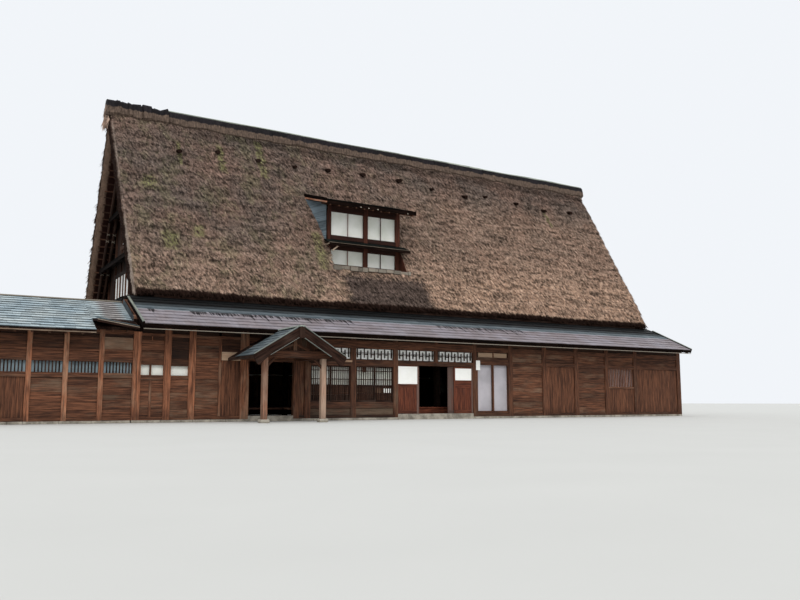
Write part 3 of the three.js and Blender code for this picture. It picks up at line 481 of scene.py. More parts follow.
def buildThatch(material):
    slab = thatchSlabTree()
    _, eaveY, _ = eave = thatch["eave"]
    shared = {
        "Half length": thatch["halfLength"], "Slope": (house["middle"] - eaveY) / pitchCosine,
        "Thickness": thatch["thickness"], "Pitch": thatch["pitch"], "Lean": thatch["lean"], "Eave": eave,
        "Rounding": thatch["rounding"], "Cell": thatch["cell"], "Course": thatch["course"], "Droop": thatch["droop"],
        "Sunk": thatch["sunk"], "Material": material}
    turn = Matrix.Translation((0, house["depth"], 0)) @ Matrix.Rotation(math.pi, 4, "Z")
    low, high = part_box("dormer_walls")
    for word, side, seed, density, parts in (
        ("front", 1, 1.0, thatch["strawDensity"], ((-20.0, 0.0), (0.0, 20.0))),
        ("back", -1, 4.0, thatch["strawDensity"] * thatch["backShare"], ((-20.0, 20.0),)),
    ):
        skin = grown(f"thatch_{word}_skin", slab, {**shared, "Seed": seed}, swellMesh())
        hole = {}
        if side > 0:
            behind = high.y + 0.5
            cutHole(skin, [(eaveY - 1, low.z), (behind, low.z), (behind, high.z),
                           (eaveY - 1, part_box("dormer_roof")[0].z - 0.2)], (low.x - 0.01, high.x + 0.01))
            hole = {"Low": (low.x - 0.06, low.y - 0.05, low.z - 0.05), "High": (high.x + 0.06, high.y + 1.0, high.z)}
        else:
            skin.data.transform(turn)
        for i, (start, end) in enumerate(parts):
            straw = grown(f"thatch_{word}_straw_{i + 1}", trees["straws"], {
                "Density": density, "Length": thatch["strawLength"], "Width": thatch["strawWidth"],
                "Flow": (side * thatch["slant"], -side * pitchCosine, -pitchSine),
                "Outward": (0.0, -side * pitchSine, pitchCosine), "From": start, "To": end, "Seed": i + 11,
                "Material": material, **hole}, skin.data.copy())
            keep(straw)
            print("thatch:", straw.name, len(straw.data.polygons), "faces")
        keep(skin, [f"thatch_{word}"])


# Wood

woods = {
    "post": tints(light="8d6049", dark="4e2f22", grey="8b7565"),
    "board": tints(light="7d5038", dark="3b2217", grey="86705c"),
    "door": tints(light="8a4b33", dark="52281b", grey="6d5850"),
    "dark": {**tints(light="3c2a23", dark="17100e", grey="4a3f38"), "gloss": 0.02},
    "pale": tints(light="b39c86", dark="7b6554", grey="aba192"),
}


# Wood with its grain along each timber, or along one axis of the house on a CAD node
def woodFinish(name, look, axis=None):
    tree = Finish(name)
    x, y, z = tree.splitXYZ(tree.place)
    if axis:
        grain, across = (tree.place, y) if axis == "x" else (tree.joinXYZ(y, x, z), x)
        tone = tree.add("ShaderNodeTexWhiteNoise", {"noise_dimensions": "1D"}, {"W": math.floor(across / 0.24)})
        age = tone * 0.5
    else:
        grain, tone, age = tree.attribute("grain", "Vector"), tree.attribute("tone"), tree.attribute("age")
    streaks = tree.noise(grain, 1.6, 6.0, 0.66, (1.0, 16.0, 16.0))
    fine = tree.noise(grain, 1.5, 3.0, 0.6, (2.0, 90.0, 90.0))
    stain = tree.above(tree.noise(grain, 1.1, 4.0, 0.6, (1.0, 2.5, 2.5)), 0.36, 0.68)
    colour = tree.mix(tree.above(streaks, 0.3, 0.7), look["dark"], look["light"])
    colour = tree.mix(tree.above(age + (stain - 0.5) * 0.4, 0.1, 1.0), colour, look["grey"])
    damp = tree.below(z + streaks * 0.3, 0.2, 0.7)
    brightness = (0.5 + tone * 0.85) * (1.0 + (fine - 0.5) * 0.7 + (streaks - 0.5) * 0.9) * (1.0 - damp * 0.3)
    return tree.close(tree.shade(colour, brightness), 0.82, streaks + fine * 0.4, 0.004, look.get("gloss", 0.25))


def paperFinish(name, white, grey):
    tree = Finish(name)
    fibres = tree.noise(tree.place, 40.0, 4.0, 0.6)
    cloudy = tree.noise(tree.place, 1.6, 3.0)
    colour = tree.mix(tree.above(cloudy, 0.3, 0.75), tint(white), tint(grey))
    return tree.close(tree.shade(colour, 0.96 + fibres * 0.06), 0.9, fibres, 0.0008)


def stoneFinish(name, light, dark):
    tree = Finish(name)
    broad = tree.noise(tree.place, 2.2, 5.0, 0.65)
    speckle = tree.noise(tree.place, 38.0, 4.0, 0.7)
    colour = tree.mix(tree.above(broad, 0.35, 0.65), tint(dark), tint(light))
    return tree.close(tree.shade(colour, 0.75 + speckle * 0.5), 0.9, broad * 2.0 + speckle * 0.4, 0.012)


# Weathered roof boards; on the pent roofs a cool band below the thatch's edge is partly wet boards and partly painted
# shade, and towards the thatch it goes into painted shadow, nearly black, with drips below
def roofBoardFinish(name, look):
    tree = Finish(name)
    tone = tree.attribute("tone")
    x, y, _ = tree.splitXYZ(tree.place)
    streaks = tree.noise(tree.place, 1.5, 5.0, 0.65, (7.0, 1.2, 1.2))
    blotch = tree.above(tree.noise(tree.place, 1.3, 4.0, 0.6), 0.35, 0.7)
    colour = tree.mix(blotch, look["cool"], look["grey"])
    if "warm" in look:
        inward, edge = house["middle"] - abs(y - house["middle"]), look["edge"]
        # the warm lower part; above it the cool colour stands partly for wet boards, partly for painted shade
        dryAndLit = tree.below(inward + (tree.noise(tree.place, 2.4, 3.0) - 0.5) * 0.14, edge - 0.05, edge + 0.08)
        colour = tree.mix(dryAndLit, colour, tree.mix(blotch, look["warm"], look["pale"]))
        sway = tree.noise(tree.place, 2.2, 3.0)
        run = tree.noise(tree.joinXYZ(x * 8.0 + sway * 0.5, 0.0, 0.0), 1.0, 2.0)
        streak = tree.above(run + (inward - edge) * 0.35, 0.43, 0.47)   # a drip narrows downwards
        streak = streak * tree.below(inward, edge + 0.02, edge + 0.12)
        wet = 0.0
        for start, end in look["drips"]:
            wet = tree.above(x, start, start + 0.1) * tree.below(x, end - 0.1, end) + wet
        colour = tree.mix(streak * wet * 0.9, colour, look["dark"])
        # painted shadow of the thatch's eave, darkening to nearly black towards the thatch
        colour = tree.shade(colour, 1.0 - tree.above(inward, edge - 0.08, edge + 0.7) * 0.985)
    if "pink" in look:
        start, end = look["pinkRange"]
        patch = tree.above(x, start, start + 0.3) * tree.below(x, end - 0.3, end)
        colour = tree.mix(patch * 0.8, colour, look["pink"])
    # every board gets painted shade along its lower end, to draw the course lines
    buttShade = tree.below(tree.attribute("reach"), 0.03, 0.14)
    brightness = (0.84 + tone * look.get("steps", 0.3) + (streaks - 0.5) * 0.4) * (1.0 - buttShade * look.get("buttShadeDepth", 0.3))
    return tree.close(tree.shade(colour, brightness), look["roughness"], streaks, 0.004, look.get("gloss", 0.15))


# Timbers and boards of one wall: u runs along it, w inwards from its outer face, z up. A look is the range of tones
# and the range of ages that a timber's own is drawn from
class Timbers:
    lining = 0.02
    gap = 0.004

    def __init__(self, seed, origin=(0, 0, 0), along=(1, 0, 0), inward=(0, 1, 0)):
        up = Vector(along).cross(Vector(inward))
        self.place = Matrix.Translation(origin) @ Matrix((along, inward, up)).transposed().to_4x4()
        self.random = random.Random(seed)
        self.corners, self.faces, self.grains, self.tones, self.ages, self.wires = [], [], [], [], [], []

    # outline in u and z, counter-clockwise seen from outside
    def prism(self, outline, depth, grain=(1, 0), tone=(0.3, 0.6), age=(0.0, 0.4)):
        count, first = len(outline), len(self.corners)
        shift = Vector([self.random.uniform(0, 50) for _ in range(3)])
        self.tones += [self.random.uniform(*tone)] * 2 * count
        self.ages += [self.random.uniform(*age)] * 2 * count
        for w in depth:
            for u, z in outline:
                self.corners.append(self.place @ Vector((u, w, z)))
                turned = (w, u, z) if grain == "deep" else (u * grain[0] + z * grain[1], z * grain[0] - u * grain[1], w)
                self.grains.append(Vector(turned) + shift)
        self.faces.append([first + i for i in range(count)])
        self.faces.append([first + count + i for i in reversed(range(count))])
        for i in range(count):
            j = (i + 1) % count
            self.faces.append([first + i, first + count + i, first + count + j, first + j])

    def box(self, u, w, z, *look, grain=None):
        if grain is None:
            grain = (1, 0) if u[1] - u[0] > z[1] - z[0] else (0, 1)
        self.prism([(u[0], z[0]), (u[1], z[0]), (u[1], z[1]), (u[0], z[1])], w, grain, *look)

    def boxes(self, *rows):
        for row in rows:
            self.box(*row)

    # a straight timber between two points of the wall
    def beam(self, start, end, width, w, *look):
        start, end = Vector(start), Vector(end)
        run = (end - start).normalized()
        side = Vector((-run.y, run.x)) * width / 2
        self.prism([tuple(p) for p in (start - side, end - side, end + side, start + side)], w, tuple(run), *look)

    # an upright timber whose top follows a slope
    def upTo(self, top, a, b, foot, w, *look):
        self.prism([(a, foot), (b, foot), (b, top(b)), (a, top(a))], w, (0, 1), *look)

    # a panel of boards side by side with a dark lining behind their gaps; upright ones have their tops along a slope
    # if top is given
    def boards(self, u, z, w, width, upright=False, top=None, tone=(0.3, 0.6), age=(0.0, 0.4)):
        start, end = u if upright else z
        count = max(1, round((end - start) / width))
        step = (end - start) / count
        edges = [start + i * step for i in range(count + 1)]
        for i in range(1, count):
            edges[i] += self.random.uniform(-0.15, 0.15) * step
        behind, hidden = (w[1] - self.lining, w[1]), ((0.0, 0.02), (0.0, 0.0))
        if w[1] - w[0] < 2 * self.lining:
            behind = None
        elif top is None:
            self.box(u, behind, z, *hidden)
        else:
            reached = [a for a in edges if top(a) > z[0] + 0.02]
            if len(reached) > 1:
                self.prism([(reached[0], z[0]), (reached[-1], z[0]), *((a, top(a)) for a in reversed(reached))],
                           behind, (0, 1), *hidden)
        for a, b in zip(edges, edges[1:]):
            b -= self.gap
            depth = (w[0] + self.random.uniform(0, 0.006), w[1] - (self.lining * 0.75 if behind else 0.0))
            if not upright:
                self.box(u, depth, (a, b), tone, age, grain=(1, 0))
            elif top is None:
                self.box((a, b), depth, z, tone, age, grain=(0, 1))
            elif min(top(a), top(b)) > z[0] + 0.02:
                self.upTo(top, a, b, z[0], depth, tone, age)

    # thin bars go to a node tree; each is a line with its own section
    def bar(self, start, end, wide, deep):
        self.wires.append((self.place @ Vector(start), self.place @ Vector(end), wide, deep))

    def upright(self, u, z, w, pitch, wide, deep):
        count = max(2, round((u[1] - u[0]) / pitch))
        for i in range(1, count):
            x = u[0] + i * (u[1] - u[0]) / count
            self.bar((x, w, z[0]), (x, w, z[1]), wide, deep)

    # posts the full thickness of the wall, rails between them a little thinner
    def framing(self, posts, rails, span, foot, postTone=(1.05, 1.45), railTone=(0.2, 0.5), top=house["top"]):
        for x, width in posts:
            self.box((x - width / 2, x + width / 2), (0, house["wall"]), (foot, top), postTone, (0.0, 0.35))
        for rail in rails:
            self.box(span, house["rail"], rail, railTone)

    def fill(self, u, *rows):
        for low, high, kind in rows:
            self.boards(u, (low, high), house["panel"], **panels[kind])

    # a window hole with fine upright bars, its sill and the boards below it
    def barredWindow(self, u):
        self.fill(u, (0.19, 1.1, "across"))
        self.box(u, (0.01, 0.14), (1.1, 1.2), (0.3, 0.5))
        self.upright(u, (1.2, 1.95), 0.05, 0.1, 0.036, 0.03)
        for height in (1.22, (1.2 + 1.95) / 2, 1.93):
            self.bar((u[0], 0.075, height), (u[1], 0.075, height), 0.04, 0.03)

    def build(self, name, material, slot="wall_board", replaced=(), body="house", bevel=0.004):
        made = newObject(name, newMesh(name, self.corners, (), self.faces, grain=self.grains, tone=self.tones,
                                       age=self.ages))
        made.data.materials.append(material)
        edges = made.modifiers.new("arrises", "BEVEL")
        edges.width, edges.segments, edges.limit_method = bevel, 1, "ANGLE"
        return keep(settled(made), replaced, body)

    def rebuild(self, node):
        self.build(f"{node}_timbers", wood["board"], replaced=[node])


# Timbers of the front or back wall, and of the right or left end
def longTimbers(seed, side):
    return Timbers(seed, (0, placeOn(side)(0), 0), (side, 0, 0), (0, side, 0))


def endTimbers(seed, side, x):
    return Timbers(seed, (side * x, placeOn(side)(0), 0), (0, side, 0), (-side, 0, 0))


panels = {
    "across": {"width": 0.22, "tone": (0.0, 0.5), "age": (0.0, 0.45)},
    # deepShade and shaded boards are darkened as painted shade: deepShade under the house's eaves, over the porch door
    # and behind the lattice, shaded under the annex's eave
    "deepShade": {"width": 0.26, "tone": (-0.4, -0.15), "age": (0.0, 0.2)},
    "shaded": {"width": 0.26, "tone": (-0.2, 0.1), "age": (0.0, 0.2)},
    "upright": {"width": 0.2, "upright": True, "tone": (0.05, 0.3), "age": (0.0, 0.3)},
    "red": {"width": 0.17, "upright": True, "tone": (0.15, 0.45), "age": (0.0, 0.05)},
    "light": {"width": 0.36, "tone": (0.5, 0.75), "age": (0.4, 0.7)},
    "warm": {"width": 0.25, "tone": (0.3, 0.55), "age": (0.0, 0.15)},
    "dado": {"width": 0.12, "tone": (-0.15, 0.05), "age": (0.6, 0.9)},
}


# Bodies for bars, rafters and poles: every edge of the input mesh becomes one, square or round
def barTree(roundSection):
    tree = GeometryTree("poles" if roundSection else "bars", {
        "Facing": (0.0, -1.0, 0.0), "Uneven": 0.06, "Age": 0.2, "Dark": 0.3, "Light": 0.6, "Seed": 0})
    given = tree.given
    points, run = tree.edgePoints()
    stick = tree.cube()
    if roundSection:
        stick = tree.add("GeometryNodeMeshCylinder", None, {"Vertices": 8, "Radius": 0.5, "Depth": 1.0})
    stick = tree.store(stick, "local", tree.position, "FLOAT_VECTOR")
    swell = 1.0 + given["Uneven"] * tree.chance(-1.0, 1.0, given["Seed"])
    size = tree.joinXYZ(tree.named("wide") * swell, tree.named("deep") * swell, tree.vector("LENGTH", run, out="Value"))
    placed = tree.repeat(points, stick, tree.turned(run, "Y", given["Facing"]), size)
    shift = tree.joinXYZ(*(tree.chance(0.0, 50.0, seed) for seed in (21, 22, 23)))
    for name, value in (("span", size), ("shift", shift)):
        placed = tree.store(placed, name, value, "FLOAT_VECTOR", "INSTANCE")
    tone = tree.chance(0.0, 1.0, 24) * (given["Light"] - given["Dark"]) + given["Dark"]
    real = tree.realize(tree.store(placed, "tone", tone, domain="INSTANCE"))
    local, span, shift = (tree.named(name, "FLOAT_VECTOR") for name in ("local", "span", "shift"))
    x, y, z = tree.splitXYZ(tree.vector("MULTIPLY", local, span))
    real = tree.store(real, "grain", tree.vector("ADD", tree.joinXYZ(z, x, y), shift), "FLOAT_VECTOR")
    return tree.finish(tree.store(real, "age", given["Age"]))


upwards = (0.0, 0.0, 1.0)


def growBars(name, wires, material, facing=(0.0, -1.0, 0.0), roundSection=False, **settings):
    corners = [point for start, end, _, _ in wires for point in (start, end)]
    mesh = newMesh(name, corners, [(2 * i, 2 * i + 1) for i in range(len(wires))], domain="EDGE",
                   wide=[wire[2] for wire in wires], deep=[wire[3] for wire in wires])
    tree = trees["poles" if roundSection else "bars"]
    keep(grown(name, tree, {"Facing": facing, "Material": material, **settings}, mesh))


# Lapped board courses on a roof slope, counted from the eave; their side joints wander from row to row
def courseTree():
    tree = GeometryTree("boardCourses", {
        "Corner": (0.0, 0.0, 0.0), "Along": (1.0, 0.0, 0.0), "Up": (0.0, 0.0, 1.0), "Length": 1.0, "Slope": 1.0,
        "Course": 0.3, "Board": 0.22, "Thickness": 0.018, "Lap": 1.3, "Seed": 0})
    given = tree.given
    length, slope, course, board, thick, seed = (
        given[key] for key in ("Length", "Slope", "Course", "Board", "Thickness", "Seed"))
    rows = round(slope / course)
    course = slope / rows
    across = math.ceil(length / board) + 1.0
    points = tree.add("GeometryNodePoints", None, {"Count": rows * across})
    index = tree.add("GeometryNodeInputIndex")
    row = math.floor((index + 0.5) / across)
    column = index - row * across

    def joint(offset):
        wander = tree.chance(-0.3, 0.3, seed, ID=row * 1000.0 + column + offset)
        stagger = tree.chance(-1.0, 0.0, seed, ID=row)
        return ((column + offset + wander + stagger) * board).atLeast(0.0).atMost(length)

    left, right = joint(0.0), joint(1.0)
    start = row * course - 0.03
    reach = (course * given["Lap"]).atMost(slope - start)
    normal = tree.vector("CROSS_PRODUCT", given["Along"], given["Up"])
    leaning = tree.vector("ADD", normal, tree.vector("SCALE", given["Up"], thick / course))
    place = given["Corner"]
    for way, distance in ((given["Along"], (left + right) * 0.5), (given["Up"], start),
                          (normal, thick * tree.chance(0.75, 1.15, 5))):
        place = tree.vector("ADD", place, tree.vector("SCALE", way, distance))
    points = tree.store(tree.move(points, Position=place), "width", right - left)
    slab = tree.add("GeometryNodeTransform", None, {"Geometry": tree.cube(), "Translation": (0.0, 0.5, 0.5)})
    # how far up its board each point lies; the finish paints shade along the lower end with it
    slab = tree.store(slab, "reach", tree.splitXYZ(tree.position)[1])
    placed = tree.repeat(points, slab, tree.turned(leaning, "X", given["Along"]),
                         tree.joinXYZ(right - left - 0.004, reach, thick), Selection=tree.named("width") > 0.02)
    return tree.finish(tree.store(placed, "tone", tree.chance(0.0, 1.0, 6), domain="INSTANCE"))


# Courses from a corner of the eave; run is how far they reach inwards, where their reach up the slope isn't given
def layCourses(name, material, corner, along, inward, rise, length, run, seed, course, board, thickness, slope=None):
    up = Vector((*inward, rise)).normalized()
    keep(grown(name, trees["courses"], {
        "Corner": tuple(corner), "Along": tuple(along), "Up": tuple(up), "Length": length,
        "Slope": slope or math.hypot(run, run * rise), "Material": material, "Seed": seed, "Course": course,
        "Board": board, "Thickness": thickness}))


def dress(material, *nodes):
    for node in nodes:
        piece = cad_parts[node]
        piece.data.materials.clear()
        piece.data.materials.append(material)


# Front wall of the main house

frontWall = {
    "porchDoor": (-8.88, -7.24),
    "entrance": (-2.995, 0.485),
    "headFoot": 2.03,
    "transom": (2.20, 2.61),
    "lattice": (0.65, 1.95),
    "latticeBays": [(-6.59, -5.0), (-4.78, -3.195)],
    "strut": -1.265,
    "corner": (12.58, 0.25),       # end posts: place and width
}


# Upright bars that stop short of the top and of the bottom by turns, with a band at mid-height
def transomBars(t, u):
    low, high = frontWall["transom"]
    count = round((u[1] - u[0]) / 0.145)
    step = (u[1] - u[0]) / count
    for i in range(count):
        x = u[0] + (i + 0.5) * step
        reach = (low, high - 0.07) if i % 2 else (low + 0.07, high)
        t.bar((x, 0.05, reach[0]), (x, 0.05, reach[1]), 0.037, 0.03)
        if i % 2:
            t.bar((x - step, 0.05, low + 0.19), (x, 0.05, low + 0.19), 0.03, 0.02)
    for z, w, wide, deep in ((low + 0.21, 0.075, 0.012, 0.012), (low + 0.25, 0.075, 0.012, 0.012),
                             (low + 0.008, 0.05, 0.016, 0.03), (high - 0.008, 0.05, 0.016, 0.03)):
        t.bar((u[0], w, z), (u[1], w, z), wide, deep)


# Two sliding panels of fine bars in one bay
def latticeBay(t, u):
    low, high = frontWall["lattice"]
    middle = (u[0] + u[1]) / 2
    for a, b, w in ((u[0], middle + 0.03, 0.02), (middle - 0.03, u[1], 0.055)):
        for x in (a + 0.025, b - 0.025):
            t.bar((x, w + 0.015, low), (x, w + 0.015, high), 0.05, 0.03)
        for z, deep in ((low + 0.03, 0.06), (1.25, 0.05), (1.47, 0.03), (1.78, 0.03), (high - 0.02, 0.04)):
            t.bar((a + 0.05, w + 0.016, z), (b - 0.05, w + 0.016, z), deep, 0.026)
        t.upright((a + 0.04, b - 0.04), (low + 0.06, high - 0.04), w + 0.012, 0.0875, 0.032, 0.018)
    # boards behind the lattice, darkened as painted shade
    t.boards(u, (low, 1.25), (0.1, 0.12), **panels["deepShade"])


def buildFrontWall():
    half, sill, topRail, post = house["half"], house["sill"], house["topRail"], house["post"]
    porch, entrance, (low, high), headFoot, corner, strut = (
        frontWall[key] for key in ("porchDoor", "entrance", "transom", "headFoot", "corner", "strut"))
    foot, inner = house["foot"], corner[0] - corner[1] / 2
    # the boards below the top rail are painted as deep shade under the pent roof
    under, shady = (2.83, 3.113, "deepShade"), ((0.05, 0.25), (-0.3, -0.1))

    t = Timbers(3)
    t.framing([(-corner[0], corner[1]), (-11.62, post), (-10.82, post), (-9.03, 0.3)], [sill, topRail, (2.73, 2.83)],
              (-half, porch[0]), foot)
    u = (-inner, -11.73)
    t.fill(u, (0.19, 0.95, "across"), (0.95, 1.33, "warm"), (1.82, 2.235, "across"), (2.27, 2.61, "warm"), under)
    t.boxes(
        (u, (0.03, 0.12), (1.33, 1.5), (0.1, 0.2)),
        (u, (0.02, 0.12), (2.235, 2.265), (0.0, 0.1)),
        (u, (0.09, 0.12), (2.61, 2.73), (0.0, 0.02), (0, 0)),
        ((-12.13, -12.09), (0.05, 0.1), (2.61, 2.73), (0.7, 0.8)),
        ((-12.18, -12.1), (0.03, 0.1), (0.19, 1.33), (0.6, 0.7)),
        ((-12.17, -12.12), (0.04, 0.12), (1.5, 1.82), (0.4, 0.5)))
    u = (-11.51, -10.93)
    t.fill(u, (0.19, 0.95, "across"), (0.95, 1.37, "warm"), (1.8, 3.113, "deepShade"))
    t.box(u, (0.03, 0.12), (1.37, 1.5), (0.1, 0.2))
    t.fill((-10.71, -9.93), (0.19, 1.4, "across"), (1.4, 2.1, "warm"), (2.1, 2.73, "across"), under)
    t.box((-9.93, -9.84), (0.01, 0.14), (0.19, 2.83), (0.5, 0.6))
    t.fill((-9.84, -9.18), (0.19, 2.03, "red"), (2.31, 2.73, "deepShade"), under)
    t.box((-9.84, -9.18), (0.02, 0.13), (2.03, 2.31), (1.4, 1.5), (0.95, 1.0))
    t.rebuild("front_wall_left")

    t = Timbers(4)
    t.framing([], [(headFoot, 2.19), (2.64, 2.83), topRail], porch, headFoot)
    t.fill(porch, (2.19, 2.64, "deepShade"), under)
    t.rebuild("porch_door_head")

    t = Timbers(5)
    middle = (porch[1], entrance[0])
    t.framing([(-7.13, post), (-6.7, post), (-4.89, post), (-3.095, 0.2)], [sill, topRail], middle, foot, *shady)
    for u in ((-7.02, -6.81), (-6.81, -6.59)):
        t.fill(u, (0.19, 2.63, "upright"), (2.9, 3.113, "deepShade"))
    for u in frontWall["latticeBays"]:
        t.fill(u, (0.19, 0.43, "dado"), (2.9, 3.113, "deepShade"))
        t.box(u, (0.01, 0.14), (0.43, 0.65), (-0.15, 0.0))
        t.box(u, (0.0, 0.15), (1.95, low), (-0.15, 0.0), (0.0, 0.2))
        transomBars(t, u)
        latticeBay(t, u)
    beam = ((-0.012, 0.13), (high, 2.9), (0.2, 0.3), (0.0, 0.1))
    t.boxes(
        ((-5.29, -4.96), (-0.03, 0.02), (2.09, 2.16), (0.9, 1.0), (0.6, 0.7)),
        ((-4.48, -4.3), (0.09, 0.1), (1.74, 1.93), (0.1, 0.1)),
        ((-3.95, -3.65), (0.09, 0.1), (0.99, 1.18), (0.2, 0.3), (0.4, 0.5)),
        (middle, *beam))
    t.rebuild("front_wall_lattice")
    growBars("front_lattice_bars", t.wires, wood["dark"], Dark=0.3, Light=0.8, Age=0.3, Seed=1)

    t = Timbers(6)
    t.framing([(strut, 0.16)], [topRail], entrance, headFoot, *shady)
    t.box(entrance, (-0.004, 0.148), (headFoot, low), (-0.15, 0.0), (0.0, 0.2))
    t.box(entrance, *beam)
    t.fill(entrance, (2.9, 3.113, "deepShade"))
    halves = ((entrance[0] + 0.02, strut - 0.08), (strut + 0.08, entrance[1] - 0.02))
    for u in halves:
        transomBars(t, u)
    t.rebuild("entrance_head")
    growBars("entrance_transom_bars", t.wires, wood["dark"], Dark=0.3, Light=0.8, Age=0.3, Seed=2)

    sheets = Timbers(8)
    for u in (*frontWall["latticeBays"], *halves):
        sheets.box(u, (0.088, 0.096), (low, high))
    sheets.box((0.63, 0.83), (-0.006, 0.001), (1.92, 2.3))
    sheets.box((-3.57, -3.27), (0.09, 0.098), (0.99, 1.15))
    sheets.build("front_transom_paper", papers["sheet"], "window_paper", bevel=0.001)

    t = Timbers(7)
    posts = [0.575 + house["bay"] * i for i in range(6)]
    t.framing([(0.585, 0.2), *((x, post) for x in posts[1:]), corner], [sill, topRail, (2.13, 2.28), (2.64, 2.83)],
              (entrance[1], half), foot, (0.1, 0.4), (0.0, 0.2))
    for i, u in enumerate(zip([x + post / 2 for x in posts], [x - post / 2 for x in posts[1:]] + [inner])):
        a, b = u
        t.fill(u, under)
        if i == 0:
            # two white panels in a frame, with light boards above them
            t.fill(u, (0.19, 0.3, "across"))
            t.boxes(
                ((a, a + 0.05), (0.02, 0.13), (0.3, 2.13), (0.3, 0.4)),
                ((1.48, 1.54), (0.02, 0.13), (0.3, 2.13), (0.3, 0.4)),
                (u, (0.02, 0.13), (2.28, 2.44), (-0.1, 0.0)),
                ((a + 0.1, b - 0.78), (0.05, 0.1), (2.44, 2.62), (1.3, 1.4), (0.9, 1.0)),
                ((b - 0.74, b - 0.05), (0.05, 0.1), (2.44, 2.62), (1.3, 1.4), (0.9, 1.0)),
                ((b - 0.78, b - 0.74), (0.02, 0.1), (2.44, 2.64), (0.3, 0.4)))
        elif i == 4:
            t.fill(u, (0.19, 1.3, "red"), (2.28, 2.64, "across"))
            t.upright(u, (1.3, 2.13), 0.05, 0.1, 0.04, 0.04)
            t.box(u, (0.02, 0.13), (1.24, 1.32), (0.3, 0.4))
        else:
            t.fill(u, (0.19, 2.13, "red" if i in (2, 5) else "across"), (2.28, 2.64, "across"))
    t.rebuild("front_wall_right")
    growBars("front_right_window_bars", t.wires, wood["post"], Seed=3)
    print("front wall built")


# Back and end walls: plain repeat of the board bays

def buildBackWall():
    half, post, (end, width) = house["half"], house["post"], frontWall["corner"]
    t = longTimbers(11, -1)
    posts = [-10.81 + house["bay"] * i for i in range(13)]
    t.framing([(-end, width), (end, width)] + [(x, post) for x in posts],
              [house["sill"], (1.95, 2.08), (2.64, 2.83), house["topRail"]], (-half, half), house["foot"])
    inner = end - width / 2
    edges = [-inner] + [x + side for x in posts for side in (-post / 2, post / 2)] + [inner]
    for i, u in enumerate(zip(edges[::2], edges[1::2])):
        # boards under the eave painted as deep shade
        t.fill(u, (2.83, 3.113, "deepShade"), (2.08, 2.64, "across"))
        if i in (2, 6, 10):
            t.barredWindow(u)
        else:
            t.fill(u, (0.19, 1.95, "across"))
    t.rebuild("back_wall")
    growBars("back_window_bars", t.wires, wood["post"], (0.0, 1.0, 0.0), Seed=4)


def buildEndWall(word, side):
    depth, place, thick, post = house["depth"], placeOn(side), house["wall"], house["post"]
    t = endTimbers(13 + side, side, house["half"])
    lowest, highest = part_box(f"{word}_wall")
    eave, rise, inset = pent["eave"], pent["rise"], lowest.y
    under = eave[1] - pent["thickness"] - eave[0] * rise - 0.006      # of the pent roof, over the wall's face
    top = lambda u: min(highest.z, under + min(u, depth - u) * rise)
    posts = [(inset + thick / 2, thick), (depth - inset - thick / 2, thick)]
    posts += [(1.86 + house["bay"] * i, post) for i in range(6)]
    for x, width in posts:
        t.upTo(top, x - width / 2, x + width / 2, house["foot"], (0, thick), (0.35, 0.75))
    for rail in (house["sill"], (1.95, 2.08), (2.95, 3.15)):
        t.box((inset, depth - inset), house["rail"], rail, (0.3, 0.6))
    centres = sorted(x for x, _ in posts)
    for i, (a, b) in enumerate(zip(centres, centres[1:])):
        u = (a + (thick if i == 0 else post) / 2, b - (thick if i == len(centres) - 2 else post) / 2)
        t.boards(u, (3.15, 3.2), house["panel"], 0.2, True, top, (0.1, 0.4))
        t.fill(u, (2.08, 2.95, "across"))
        if any(abs((a + b) / 2 - place(y)) < 0.4 for y in (6.38, 8.2)):
            t.barredWindow(u)
        else:
            t.fill(u, (0.19, 1.95, "across"))
    t.rebuild(f"{word}_wall")
    growBars(f"{word}_window_bars", t.wires, wood["post"], (side, 0.0, 0.0), Seed=5)
    print(word, "end wall built")


# Sliding leaves of the entrance

leaves = {
    "width": 0.9,
    "thickness": 0.034,
    "height": (0.2105, 2.025),
    "stile": 0.06,
    "lockRail": (1.19, 1.29),
    "paperFoot": {1: 1.32, 2: 1.32, 4: 1.5},
}


def buildLeaves():
    low, high = leaves["height"]
    width, stile, thick, lock = leaves["width"], leaves["stile"], leaves["thickness"], leaves["lockRail"]
    inside = (stile, width - stile)
    for i in range(1, 5):
        name = f"door_leaf_{i}"
        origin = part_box(name)[0] * Vector((1, 1, 0))
        t = Timbers(20 + i, origin)
        # the third leaf is bleached all over, the others only on their right stile
        look, panel = ((0.0, 0.15), (0.0, 0.2)), ((-0.05, 0.2), (0.0, 0.15))
        if i == 3:
            look, panel = ((0.15, 0.3), (0.8, 1.0)), ((0.2, 0.35), (0.7, 1.0))
        t.box((0, stile), (0, thick), (low, high), *look)
        t.box((width - stile, width), (0, thick), (low, high), (0.5, 0.6), (0.9, 1.0))
        paper = leaves["paperFoot"].get(i)
        for z in [(low, low + 0.13), (high - 0.06, high), lock] + ([(lock[1], paper)] if paper else []):
            t.box(inside, (0.001, thick - 0.001), z, *look)
        for z in [(low + 0.13, lock[0])] + ([] if paper else [(lock[1], high - 0.06)]):
            t.boards(inside, z, (0.006, 0.026), 0.11, True, None, *panel)
        t.build(f"{name}_timbers", wood["door"], "door_wood", [name], name, 0.003)
        if paper:
            sheet = Timbers(30 + i, origin)
            if i == 1:
                # pasted over the whole leaf but its right stile
                sheet.box((0.008, width - 0.04), (-0.002, 0.006), (paper + 0.01, 1.99))
            else:
                sheet.box((stile - 0.01, width - stile + 0.01), (0.008, 0.02), (paper, high - 0.05))
            sheet.build(f"{name}_paper", papers["sheet"], "window_paper", (), name, 0.001)


# Annex

annex = {
    "left": -18.825,
    "right": -12.709,
    "bay": 1.02,
    "depth": 4.1,
    "top": 2.972,
    "eave": (-0.6, 2.8),
    "rise": 0.4453,
    "join": -13.95,                # left end of the hood
    "overhang": 0.3,
    "hood": {"edge": (-0.7, 3.15), "drop": 0.19, "back": 0.15, "slope": 0.86},
    "course": (0.215, 0.3, 0.022),     # reach, board width and thickness
    "rafterPitch": 0.46,
}


